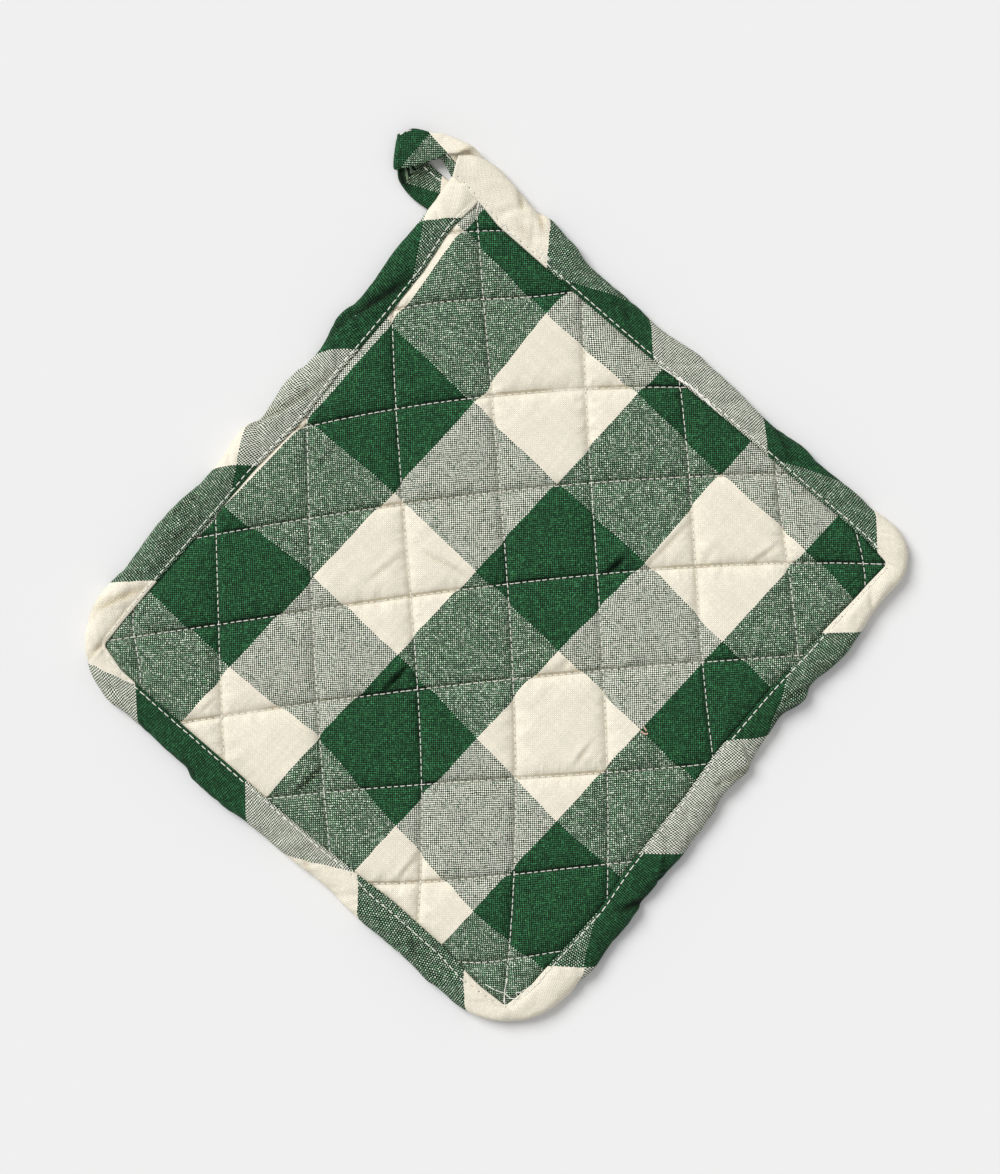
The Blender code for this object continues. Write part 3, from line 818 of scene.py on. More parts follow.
def lay_shade(mesh, shade):
    """Write each vertex's shade to the attribute that the cloth's material reads."""
    layer = mesh.attributes.new("crease", "FLOAT", "POINT")
    layer.data.foreach_set("value", np.clip(shade, 0, MOST_SHADE))


# Shade beside the lip of the binding. On the near side the key light casts most of it.
LIP_SIDE = 85.0         # the far and the near side of the lip lie beyond this, in x
FAR_LIP_SHADE = 0.85
NEAR_LIP_SHADE = 0.15
LIP_SHADE = 0.4
LIP_SHADE_FROM = 0.15   # where it is deepest, in millimetres inside the lip
LIP_SHADE_WIDTH = 0.7

front_right, front_up = to_diagonals(front_x, front_y)
ripple = sum(share * roughness_at((front_right - front_up) / width, (front_right + front_up) / length, seed)
             for share, width, length, seed in RIPPLE_WAVES)
strength = RIPPLE_STRENGTH + roughness_at(front_right / RIPPLE_PATCH, front_up / RIPPLE_PATCH, 43.0)
seam_fade = np.clip(clear / FADE_REACH, 0, 1)
front_z = front_z + RIPPLES * ripple * np.clip(strength, *RIPPLE_LIMITS) * seam_fade * lip_clear
pressed, shade = pressed_creases(front_right, front_up, CREASES)
front_z = front_z + pressed
lip_shade = np.where(front_x > LIP_SIDE, FAR_LIP_SHADE,
                     np.where(front_x < -LIP_SIDE, NEAR_LIP_SHADE, LIP_SHADE))
lip_fade = np.exp(-(((front_lip - LIP_SHADE_FROM) / LIP_SHADE_WIDTH) ** 2))
shade = np.maximum(shade, lip_shade * lip_fade)
crease_shade = np.zeros(len(shape))
crease_shade[on_front] = shade
shape[on_front, 2] = front_z
lay_shade(pad_mesh, crease_shade)

# The checks: the corner of the first one and the steps to its neighbours along and down, then
# how far each corner was pulled off that straight lattice by the sewing.
CHECK_CORNER = (-89.19, 47.36)
CHECK_ALONG = (40.03, -1.956)
CHECK_DOWN = (-1.253, -41.905)
CHECK_PULLS = {
    (0, 1): (0.9, -2.2), (0, 2): (0.2, -2.3), (1, -1): (-2.4, -1.7), (2, 3): (-0.6, 3.6),
    (4, 3): (-0.1, -2.5), (1, 2): (0.0, 1.5), (2, 2): (-0.2, 1.5), (3, 0): (1.3, 1.3),
    (4, -1): (-0.1, 1.6), (4, 2): (0.1, -1.5), (0, -1): (-4.0, -0.4),
}
PULL_REACH = 0.42   # how far a pull is felt, in checks
DRAW_IN = 1.1       # cloth taken up by each side of a seam's groove, in millimetres
DRAW_TURN = 1.2     # how near the seam that begins, and how far off it is still felt
DRAW_REACH = 4.0


def check_places(spots):
    """Places on the pad, in millimetres, as counts of checks along and down its cloth."""
    counted = np.linalg.inv(np.array([CHECK_ALONG, CHECK_DOWN]).T)
    loose = (counted @ (spots[:, :2] - CHECK_CORNER).T).T
    pull = np.zeros_like(loose)
    for corner, amount in CHECK_PULLS.items():
        near = np.exp(-((loose - corner) ** 2).sum(1) / (2 * PULL_REACH ** 2))
        pull += near[:, None] * amount
    drawn = drawn_in(spots[:, 0], spots[:, 1])
    return (counted @ (spots[:, :2] + drawn - pull - CHECK_CORNER).T).T


def drawn_in(x, y):
    """How far the cloth that shows at a place was drawn towards the seams beside it."""
    right, up = to_diagonals(x, y)
    shift = np.zeros((2, len(x)))
    for axis, (lines, along, across) in enumerate(((DOWN_LINES, up, right), (ACROSS_LINES, right, up))):
        for line in lines[1:-1]:
            clear = across - line_offset(line, along)
            pulled = 1 - np.exp(-np.abs(clear) / DRAW_TURN)
            shift[axis] += np.sign(clear) * DRAW_IN * pulled * np.exp(-np.abs(clear) / DRAW_REACH)
    return np.stack(from_diagonals(*shift), 1)


def lay_map(mesh, name, values):
    """Write a pair of values for each vertex to a new map of the mesh."""
    layer = mesh.uv_layers.new(name=name)
    corners = np.empty(len(mesh.loops), int)
    mesh.loops.foreach_get("vertex_index", corners)
    layer.data.foreach_set("uv", values[corners].ravel())


# Shade in the seams' grooves: full as far as the first distance from a seam and none beyond the
# second, in millimetres. It is narrower on the side that faces the light, it comes and goes, and
# it is lighter in the seams that run down the picture. Fine puckers cross the seams.
GROOVE_SHADE = (0.55, 1.3)
LIT_SIDE = 2.6
UNEVEN_SHADE = (3.2, -0.75)     # what the blotches are multiplied by, and what is added
BLOTCH_SCALE = 60.0
DEEPEST_GROOVE = 0.9
DOWN_SEAMS_SHADE = 0.42
TICKS_ALONG = 26.0              # fine puckers to a puff, along the seam and across it
TICKS_ACROSS = 6.0
TICK_REACH = 5.0
TICK_DEPTH = 0.0003


def gather_at_seams(cloth):
    """Shade in the grooves above and beside the seams, and fine puckers across them."""
    wires = Wires(cloth.node_tree)
    maths = wires.maths
    shader = cloth.node_tree.nodes["Principled BSDF"]
    plain = shader.inputs["Base Color"].links[0].from_socket
    normal = shader.inputs["Normal"].links[0].from_socket
    column, row = wires.parts("XYZ", wires.node("ShaderNodeUVMap", uv_map="seams").outputs[0])[:2]
    uneven = wires.blotches(wires.node("ShaderNodeTexCoord").outputs["Object"], BLOTCH_SCALE)
    uneven = maths("MULTIPLY_ADD", uneven, *UNEVEN_SHADE)
    lit = 1.0
    puckers = 0.0
    for across, along, depth, seed in ((row, column, 1.0, 3.0), (column, row, DOWN_SEAMS_SHADE, 8.0)):
        before = maths("MULTIPLY", maths("SUBTRACT", 1.0, maths("FRACT", across)), SEAM_SPACING)
        after = maths("MULTIPLY", maths("FRACT", across), SEAM_SPACING)
        from_seam = maths("MINIMUM", before, maths("MULTIPLY", after, LIT_SIDE))
        near = wires.ramp(from_seam, *GROOVE_SHADE, depth, 0.0, interpolation_type="SMOOTHSTEP")
        dark = maths("MAXIMUM", maths("MULTIPLY", near, uneven), 0.0)
        lit = maths("MULTIPLY", lit, maths("SUBTRACT", 1.0, maths("MINIMUM", dark, DEEPEST_GROOVE)))
        clear = maths("MINIMUM", before, after)
        fading = maths("MAXIMUM", maths("SUBTRACT", 1.0, maths("DIVIDE", clear, TICK_REACH)), 0.0)
        tick_across = maths("MULTIPLY", across, TICKS_ACROSS)
        tick = wires.blotches(wires.spot(maths("MULTIPLY", along, TICKS_ALONG), tick_across, seed), 1.0)
        tick = maths("SUBTRACT", tick, 0.5)
        puckers = maths("MULTIPLY_ADD", tick, maths("MULTIPLY", clear, fading), puckers)
    wires.feed(shader.inputs["Base Color"], in_shade(wires, plain, lit))
    relief = wires.bump(puckers, 1.0, TICK_DEPTH)
    wires.feed(relief.inputs["Normal"], normal)
    wires.feed(shader.inputs["Normal"], relief.outputs[0])


PAD_CLOTH = gingham("Pad gingham")
gather_at_seams(PAD_CLOTH)
lay_map(pad_mesh, "checks", check_places(shape))
put_places(pad_mesh, shape + [*PAD_MIDDLE, 0.0], MM)
pad = show("quilted_pad_cloth", pad_mesh, PAD_CLOTH)
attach(pad, "root")
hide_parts("quilted_pad")

# ---------------------------------------------------------------------------------------
# Quilting thread. White cotton lockstitch, about 2.4 mm to a stitch, along every seam of the
# front and of the back; each stitch dips into the needle holes at its ends.
# ---------------------------------------------------------------------------------------
STITCH_PITCH = 2.35
STITCH_SHARE = 0.9      # of the pitch; the rest is the gap between two stitches
THREAD_RADIUS = 0.165
THREAD_LIFT = 0.1       # how far a stitch lies above the cloth, and dips below it at its ends
THREAD_DIP = 0.42
THREAD_COLOUR = (0.93, 0.91, 0.83, 1.0)
STITCH_SIDES = 6
STITCH_RINGS = 8
SEAM_OVERRUN = 2.5      # how far a seam runs on under the binding
SEAM_POINTS = 160
STITCH_THINNING = 0.5   # how much a stitch thins where it goes down
THREAD_TURNS = 3.0      # of the plies round each other in a stitch
THREAD_PLIES = 2.0
STITCH_WOBBLE = 0.09    # how far a stitch's ends stray
NEEDLE_HEIGHT = 40.0    # rays that look for the cloth start this far above or below it


def thread_material(name, colour):
    """Two-ply cotton thread: pale, matt, with the twist of its plies along its own map, and painted shade
    between its plies.
    """
    made, shader = plain_material(name, colour, 0.7)
    shader.inputs["Specular IOR Level"].default_value = 0.3
    wires = Wires(made.node_tree)
    along, around = wires.parts("XYZ", wires.node("ShaderNodeUVMap", uv_map="twist").outputs[0])[:2]
    turn = wires.maths("MULTIPLY_ADD", along, THREAD_TURNS, wires.maths("MULTIPLY", around, THREAD_PLIES))
    ply = wires.maths("ABSOLUTE", wires.maths("SINE", wires.maths("MULTIPLY", turn, math.pi)))
    # The grooves between the plies are painted darker and their crowns a little lighter: painted shade and
    # light, over the bump.
    wires.feed(shader.inputs["Base Color"], wires.dim(colour, wires.ramp(ply, 0.0, 1.0, 0.78, 1.05)))
    relief = wires.bump(ply, 0.5, THREAD_RADIUS * MM * 0.5)
    wires.feed(shader.inputs["Normal"], relief.outputs[0])
    return made


THREAD = thread_material("White thread", THREAD_COLOUR)


def stitch_form():
    """One stitch lying along +X from 0 to 1 with radius 1: its points, faces and twist map."""
    bm = bmesh.new()
    bmesh.ops.create_cone(bm, cap_ends=True, segments=STITCH_SIDES, radius1=1, radius2=1, depth=1)
    long_edges = [link for link in bm.edges if abs(link.verts[0].co.z - link.verts[1].co.z) > 0.5]
    bmesh.ops.subdivide_edges(bm, edges=long_edges, cuts=STITCH_RINGS - 1)
    bmesh.ops.rotate(bm, verts=bm.verts, matrix=Matrix.Rotation(math.pi / 2, 3, "Y"))
    bmesh.ops.translate(bm, verts=bm.verts, vec=(0.5, 0, 0))
    points = np.array([vert.co[:] for vert in bm.verts])
    faces = [[vert.index for vert in face.verts] for face in bm.faces]
    bm.free()
    return points, faces


STITCH_POINTS, STITCH_FACES = stitch_form()


def lay_stitches(name, runs, radius, lift, material, sink=THREAD_DIP):
    """Stitches as one mesh: a run is an array of stitches, each its start, end and up."""
    stitches = np.concatenate(runs)
    starts, ends, ups = stitches[:, 0], stitches[:, 1], stitches[:, 2]
    along = ends - starts
    sides = np.cross(ups, along)
    sides /= np.linalg.norm(sides, axis=1, keepdims=True)
    ups = np.cross(along, sides)
    ups /= np.linalg.norm(ups, axis=1, keepdims=True)
    share = STITCH_POINTS[:, 0]
    dip = np.abs(2 * share - 1) ** 5
    thin = 1 - STITCH_THINNING * dip
    heights = lift - (lift + sink) * dip
    spots = (
        starts[:, None] + along[:, None] * share[None, :, None]
        + sides[:, None] * (STITCH_POINTS[:, 1] * thin * radius)[None, :, None]
        + ups[:, None] * (STITCH_POINTS[:, 2] * thin * radius + heights)[None, :, None]
    )
    count = len(STITCH_POINTS)
    faces = [[index + count * number for index in face]
             for number in range(len(stitches)) for face in STITCH_FACES]
    mesh = bpy.data.meshes.new(name)
    mesh.from_pydata((spots.reshape(-1, 3) + [*PAD_MIDDLE, 0.0]) * MM, [], faces)
    turn = np.arctan2(STITCH_POINTS[:, 2], STITCH_POINTS[:, 1]) / math.tau
    lay_map(mesh, "twist", np.tile(np.stack([share, turn], 1), (len(stitches), 1)))
    made = show(name, mesh, material)
    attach(made, "root")


def surface_tree(mesh):
    """A search tree of a mesh's faces, in millimetres from the pad's middle."""
    spots = sheet_places(mesh, MM) - [*PAD_MIDDLE, 0.0]
    faces = [tuple(face.vertices) for face in mesh.polygons]
    return BVHTree.FromPolygons([tuple(spot) for spot in spots], faces)


def drop_on(tree, x, y, side):
    """Where a needle from above (side 1) or below (side -1) meets the cloth, and its slope."""
    return tree.ray_cast(Vector((x, y, side * NEEDLE_HEIGHT)), Vector((0, 0, -side)))[:2]


def stitch_run(tree, line, side, pitch, share):
    """Stitches along a line of points, laid on the cloth: their starts, ends and ups."""
    steps = np.hypot(*np.diff(line, axis=0).T)
    reach = np.concatenate([[0], np.cumsum(steps)])
    rows = []
    for number in range(int(reach[-1] / pitch)):
        off = LOOSENESS.uniform(-STITCH_WOBBLE, STITCH_WOBBLE, 4)
        first = pitch * (number + (1 - share) / 2 + off[0])
        last = pitch * (number + (1 + share) / 2 + off[1])
        ends = []
        for place, aside in ((first, off[2]), (last, off[3])):
            x = np.interp(place, reach, line[:, 0]) + aside
            y = np.interp(place, reach, line[:, 1]) + aside
            ends.append(drop_on(tree, x, y, side))
        if ends[0][0] is None or ends[1][0] is None:
            continue
        up = ends[0][1] + ends[1][1]
        if up.z * side < 0:
            up.negate()
        rows.append([ends[0][0][:], ends[1][0][:], up[:]])
    return np.array(rows)


def seam_paths():
    """Every quilting seam as points from the pad's middle, run on a little under the binding."""
    paths = []
    for lines, down in ((DOWN_LINES, True), (ACROSS_LINES, False)):
        for line in lines[1:-1]:
            way = math.copysign(SEAM_OVERRUN, line[1] - line[0])
            along = np.linspace(line[0] - way, line[1] + way, SEAM_POINTS)
            across = line_offset(line, along)
            right, up = (across, along) if down else (along, across)
            x, y = from_diagonals(right, up)
            paths.append(np.stack([x, y], 1))
    return paths


LOOSENESS = np.random.default_rng(4107)
pad_tree = surface_tree(pad_mesh)
SEAM_PATHS = seam_paths()
front_runs = [stitch_run(pad_tree, path, 1, STITCH_PITCH, STITCH_SHARE) for path in SEAM_PATHS]
lay_stitches("quilting_front", front_runs, THREAD_RADIUS, THREAD_LIFT, THREAD)
back_runs = [stitch_run(pad_tree, path, -1, STITCH_PITCH, STITCH_SHARE) for path in SEAM_PATHS]
lay_stitches("quilting_back", back_runs, THREAD_RADIUS, THREAD_LIFT, THREAD)

# Painted shade at the needle holes between the stitches: a small flat dark disc at each, where the cloth is
# drawn in and lies in shade.
HOLE_RADIUS = 0.2
HOLE_STRETCH = 1.35     # how much longer a hole is along its seam
HOLE_LIFT = 0.05
HOLE_SIDES = 8
HOLE_SHADE_GREEN = (0.008, 0.02, 0.011, 1.0)
HOLE_SHADE_CREAM = (0.42, 0.35, 0.24, 1.0)
HOLE_SHADE_CLOTH = gingham("Needle hole shade gingham", HOLE_SHADE_GREEN, HOLE_SHADE_CREAM,
                     Cream_over_green=(0.2, 0.2, 0.15, 1.0), Cream_under_green=(0.08, 0.1, 0.07, 1.0))


def needle_holes(name, runs, flat_checks, pitch=STITCH_PITCH, share=STITCH_SHARE):
    """A small flat disc of painted shade where each stitch goes down, as one mesh."""
    stitches = np.concatenate(runs)
    along = stitches[:, 1] - stitches[:, 0]
    ups = stitches[:, 2] / np.linalg.norm(stitches[:, 2], axis=1, keepdims=True)
    along /= np.linalg.norm(along, axis=1, keepdims=True)
    sides = np.cross(ups, along)
    gap = pitch * (1 - share) / 2
    middles = stitches[:, 0] - along * gap + ups * HOLE_LIFT
    bm = bmesh.new()
    bmesh.ops.create_circle(bm, cap_ends=True, segments=HOLE_SIDES, radius=HOLE_RADIUS)
    rim = np.array([vert.co[:] for vert in bm.verts])
    bm.free()
    spots = middles[:, None] + along[:, None] * (rim[:, 0] * HOLE_STRETCH)[None, :, None]
    spots = (spots + sides[:, None] * rim[:, 1][None, :, None]).reshape(-1, 3)
    mesh = bpy.data.meshes.new(name)
    faces = np.arange(len(spots)).reshape(-1, HOLE_SIDES).tolist()
    mesh.from_pydata((spots + [*PAD_MIDDLE, 0.0]) * MM, [], faces)
    lay_map(mesh, "checks", flat_checks(spots))
    made = show(name, mesh, HOLE_SHADE_CLOTH)
    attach(made, "root")


needle_holes("needle_hole_shade_front", front_runs, check_places)

# ---------------------------------------------------------------------------------------
# Edge binding. One bias strip of the same gingham, both edges turned in, folded round the raw
# edge of the pad and sewn through. It starts on top at the loop corner and ends there below.
# ---------------------------------------------------------------------------------------
STRIP_THICKNESS = 0.34
NOMINAL_WIDTH = 11.0    # from lip to bound edge
LAST_STEPS = 16         # places along each end of the strip, past the rounded corner
CORNER_SPARE = 8.0      # length of strip taken up in going round a corner of the panel
FIRST_END = ((-107.6, 101.3), (-112.8, 112.2))  # the strip's start: its lip and its bound edge
LAST_END = ((-95.6, 109.0), (-108.6, 109.6))    # the strip's end, under its start
CORNER_SPREAD = 2.4     # how far the bound edge stands out in -X at the loop corner's end
CORNER_SPREAD_FROM = 80.8
CORNER_BULGE = 1.4      # how far it bulges in +Y beside that corner, where it starts to roll over
CORNER_BULGE_X = -99.0  # the middle of that bulge, its half width, and the side that it is on
CORNER_BULGE_WIDTH = 9.0
CORNER_BULGE_FROM = 100.0

# The strip's section, a row for each bend: share of the way from lip to bound edge, height,
# and how much of the folds and ripples shows there.
STRIP_BENDS = (
    (0.62, 4.72, 0.0), (0.34, 4.70, 0.0), (0.06, 4.72, 0.0), (-0.005, 4.95, 0.0), (-0.012, 5.18, 0.1),
    (0.02, 5.42, 0.2), (0.09, 5.18, 0.15), (0.16, 5.50, 0.5), (0.30, 5.86, 1.0), (0.50, 5.95, 1.0),
    (0.70, 5.72, 1.0), (0.86, 5.14, 1.0), (0.96, 4.20, 0.9), (1.0, 3.05, 0.7), (0.965, 1.75, 0.5),
    (0.87, 0.85, 0.3), (0.70, 0.40, 0.2), (0.45, 0.24, 0.1), (0.20, 0.28, 0.0), (0.09, 0.50, 0.0),
    (0.02, 0.26, 0.0), (-0.012, 0.52, 0.0), (-0.005, 0.78, 0.0), (0.06, 1.02, 0.0), (0.34, 1.04, 0.0),
    (0.62, 1.02, 0.0),
)
BENDS_TO_LIP = 4        # the lip's bend, from which the strip's width is counted
STRIP_STEPS = (1,) * 7 + (2, 3, 3, 2) + (1,) * 14    # from each bend to the next one

# Where the green and cream bands cross the strip, in millimetres along each side's lip.
BANDS_ALONG = {"loop": (34.0, 83.5, 135.7, 186.6), "far": (34.2, 84.5, 134.8, 185.2),
               "toe": (20.2, 70.5, 121.7, 172.9), "near": (30.2, 83.8, 137.9, 196.1)}
BANDS_ACROSS = {"loop": (51.4, 148.4), "far": (62.0, 170.7), "toe": (82.6, 183.4), "near": (80.0, 177.7)}
ALONG_LEAN = 0.9        # how far each set runs on for each millimetre out from the lip
ACROSS_LEAN = -2.0
ACROSS_FROM = 5.5       # the second set is placed by where it is this far out

# Folds pressed into the strip, a row for each: millimetres along the side's lip where it meets
# the lip, how far it runs on along the side for each millimetre outwards, depth, half width.
STRIP_FOLDS = {
    "loop": ((8, 0.5, 0.5, 1.4), (26, -0.7, 0.35, 1.6), (44, 0.9, 0.4, 1.5), (57, 0.5, 0.7, 2.0),
             (66, -0.8, 0.3, 1.2), (87, 0.9, 0.5, 1.6), (110, 0.6, 0.35, 1.6), (123, 1.0, 0.45, 1.4),
             (139, 0.8, 0.45, 1.6), (163, 0.9, 0.4, 1.5), (178, 0.8, 0.35, 1.4)),
    "far": ((10, 0.8, 0.4, 1.4), (24, 0.9, 0.35, 1.5), (58, 0.8, 0.5, 1.5), (66, 0.9, 0.45, 1.3),
            (77, 0.6, 0.9, 1.5), (90, 0.9, 0.4, 1.6), (109, 0.8, 0.45, 1.5), (118, 1.5, 0.9, 1.0),
            (137, 0.8, 0.4, 1.5), (152, 0.9, 0.4, 1.4), (172, 0.8, 0.35, 1.6)),
    "toe": ((14, 0.8, 0.35, 1.5), (33, 0.9, 0.45, 1.4), (47, -0.5, 0.45, 1.2), (60, 0.9, 0.35, 1.5),
            (78, 0.8, 0.35, 1.6), (93, 0.7, 0.45, 1.7), (112, 0.9, 0.4, 1.4), (128, 0.8, 0.35, 1.5),
            (147, 0.8, 0.4, 1.5), (156, 0.4, 0.8, 1.6), (170, 0.9, 0.4, 1.4), (181, 0.8, 0.35, 1.4)),
    "near": ((20, -1.6, 0.5, 1.2), (38, 0.8, 0.55, 1.5), (55, 0.9, 0.4, 1.5),
             (72, 0.8, 0.35, 1.4), (86, 0.8, 0.5, 1.6), (104, 0.9, 0.4, 1.5), (112, 0.7, 0.5, 1.5),
             (127, 0.9, 0.45, 1.3), (141, 0.6, 0.5, 1.6), (167, 0.9, 0.3, 1.5),
             (186, 0.7, 0.35, 1.4)),
}
# Ripples in the strip, a row for each kind: height, how many to a millimetre along the strip, how
# much they lean, how many to a millimetre across it, and a pattern's number.
STRIP_RIPPLES = ((0.5, 0.16, 0.12, 0.22, 5.0), (0.15, 0.42, 0.36, 0.12, 9.0))
PRESSED_SHARE = 0.6     # of a crease's depth; the pad lies close under the strip
FRONT_BENDS = 3.05      # bends above this height are the strip's front
START_OVERLAP = 24.0    # length of the strip's start that lies over its end
START_LIFT = 0.75       # how far that lifts its front, and how far the bound edge rolls down again
START_ROLL = 1.15
START_SINK = 0.02
ROLL_FROM = 0.35        # the share of the width at which it starts to roll down, and how far on
ROLL_WIDTH = 0.45
END_OVERLAP = 16.0      # length of its end that is pressed flat under the start
END_SINK = 0.3          # how far that lowers its front, and how much more at the bound edge
END_EDGE_SINK = 0.4
END_EDGE_FROM = 0.8
END_LIFT = 0.35
EDGE_DRAW = 0.05        # how far a fold draws the bound edge in, as a share of the width

# Sharp creases in the strip, with painted shade in their troughs, a row for each: along the side
# and outwards from the lip at its first end, the same at its last end, then depth and half width.
STRIP_CREASES = {
    "loop": ((8.6, 13.0, 13.6, 10.2, 1.0, 1.0), (18.4, 12.8, 24.0, 9.0, 1.1, 1.0),
             (15.5, 4.9, 22.0, 3.4, 0.5, 1.6), (57.0, 11.0, 69.0, 3.6, 0.6, 1.2),
             (130.0, 9.4, 143.0, 3.6, 0.7, 1.1)),
    "far": ((140.0, 12.4, 154.5, 5.0, 1.6, 1.4), (49.5, 9.6, 62.8, 5.8, 1.0, 1.0),
            (56.0, 11.8, 68.0, 7.8, 1.2, 1.0), (84.6, 12.6, 97.8, 6.6, 0.9, 1.1),
            (92.8, 13.4, 104.5, 9.4, 0.8, 1.0), (127.0, 12.6, 143.0, 8.0, 0.7, 1.1),
            (36.0, 11.6, 47.2, 6.2, 0.6, 1.1)),
    "toe": ((43.4, 4.0, 34.6, 9.6, 1.1, 1.0), (141.6, 8.0, 133.8, 11.4, 0.8, 1.0),
            (91.6, 5.2, 83.3, 9.6, 0.7, 1.0)),
    "near": ((169.5, 1.4, 143.0, 10.2, 1.7, 1.6), (149.0, 9.6, 133.0, 10.8, 0.8, 1.2),
             (124.0, 1.8, 92.0, 11.0, 1.1, 1.3), (105.0, 6.6, 92.0, 12.2, 0.6, 1.1),
             (63.0, 8.2, 46.6, 11.8, 1.0, 1.1), (56.5, 2.4, 40.0, 5.4, 1.2, 1.1),
             (45.0, 1.4, 28.0, 3.6, 0.8, 1.1)),
}
# Creases at the corners, with painted shade in their troughs, right and up of the pad's middle: ends, depth
# and half width.
CORNER_CREASES = (
    (-121.5, 3.2, -141.4, -5.2, 1.6, 1.4), (-128.5, -4.4, -138.5, -17.8, 1.0, 0.9),
    (-130.6, -11.5, -144.0, -22.9, 1.7, 0.8), (-4.2, -139.3, 0.8, -143.2, 0.8, 0.7),
)


def flat(walk):
    """A walk's points as rows of numbers."""
    return np.array([(point.x, point.y) for point in walk])


def run_on(points, end, steps):
    """Points that carry a row on, evenly, from its last point to an end."""
    shares = np.linspace(0, 1, steps + 1)[1:, None]
    return np.concatenate([points, points[-1] * (1 - shares) + np.array(end) * shares])


half_corner = ARC_STEPS // 2
strip_lip = flat(LIP)[half_corner:-half_corner]
strip_edge = flat(EDGE)[half_corner:-half_corner]
near_side = np.arange(len(strip_edge)) > len(strip_edge) * 3 // 4
high = np.clip((strip_edge[:, 1] - CORNER_SPREAD_FROM) / (LAST_END[1][1] - CORNER_SPREAD_FROM), 0, 1)
strip_edge[:, 0] -= CORNER_SPREAD * high * near_side
bulge = CORNER_BULGE * np.exp(-(((strip_edge[:, 0] - CORNER_BULGE_X) / CORNER_BULGE_WIDTH) ** 2))
strip_edge[:, 1] += bulge * (strip_edge[:, 1] > CORNER_BULGE_FROM)
strip_lip = run_on(strip_lip, LAST_END[0], LAST_STEPS)
strip_edge = run_on(strip_edge, LAST_END[1], LAST_STEPS)
strip_lip = run_on(strip_lip[::-1], FIRST_END[0], LAST_STEPS)[::-1]
strip_edge = run_on(strip_edge[::-1], FIRST_END[1], LAST_STEPS)[::-1]
strip_count = len(strip_lip)

steps_a_side = len(LIP) // 4
strip_side = np.clip((np.arange(strip_count) - LAST_STEPS + half_corner) // steps_a_side, 0, 3)
strip_width = np.hypot(*(strip_edge - strip_lip).T)
side_starts = np.array([PANEL[name] for name in CORNERS])
side_ways = np.roll(side_starts, -1, axis=0) - side_starts
side_lengths = np.linalg.norm(side_ways, axis=1)
side_ways /= side_lengths[:, None]
side_reach = np.concatenate([[0], np.cumsum(side_lengths + CORNER_SPARE)])[:-1]


def reach_at(name, millimetres):
    """Distance along the strip of a place given along one side's lip."""
    return side_reach[CORNERS.index(name)] + millimetres


def reach_of(spots, side):
    """Distance along the strip of places on its columns; round a corner it turns with them."""
    way = side_ways[side][:, None]
    from_start = spots - side_starts[side][:, None]
    along = (from_start * way).sum(2)
    out = np.maximum(from_start[..., 1] * way[..., 0] - from_start[..., 0] * way[..., 1], 0.5)
    length = side_lengths[side][:, None]
    before = np.arctan2(np.maximum(-along, 0), out) / (math.pi / 2) * CORNER_SPARE
    after = np.arctan2(np.maximum(along - length, 0), out) / (math.pi / 2) * CORNER_SPARE
    first, last = (side == 0)[:, None], (side == 3)[:, None]
    low = np.where(first, along, np.maximum(along, 0) - before)
    return side_reach[side][:, None] + np.where((along > length) & ~last, length + after, low)


def bands(rows):
    """Where a set of bands changes, as distances along the strip."""
    return np.array([reach_at(name, place) for name, places in rows.items() for place in places])


def count_bands(reach, stations):
    """Checks counted along the strip: a whole number at each station, evenly on past the ends."""
    counts = np.interp(reach, stations, np.arange(len(stations)) + 1.0)
    pitch = (stations[-1] - stations[0]) / (len(stations) - 1)
    counts += np.minimum(reach - stations[0], 0) / pitch + np.maximum(reach - stations[-1], 0) / pitch
    return counts


def smooth_bends(rows, steps):
    """A smooth curve through the rows, with a number of steps from each row to the next one."""
    rows = np.array(rows)
    padded = np.concatenate([2 * rows[:1] - rows[1:2], rows, 2 * rows[-1:] - rows[-2:-1]])
    made = []
    for before, start, end, after, count in zip(padded, padded[1:], padded[2:], padded[3:], steps):
        for step in range(count):
            t = step / count
            made.append(0.5 * (2 * start + (end - before) * t
                               + (2 * before - 5 * start + 4 * end - after) * t * t
                               + (3 * start - before - 3 * end + after) * t ** 3))
    made.append(rows[-1])
    return np.array(made)


# Distance of each place of the section from the lip, measured over the cloth.
strip_section = smooth_bends(STRIP_BENDS, STRIP_STEPS)
lip_bend = sum(STRIP_STEPS[:BENDS_TO_LIP])
section_steps = np.hypot(np.diff(strip_section[:, 0] * NOMINAL_WIDTH), np.diff(strip_section[:, 1]))
outwards = np.concatenate([[0], np.cumsum(section_steps)])
outwards -= outwards[lip_bend]


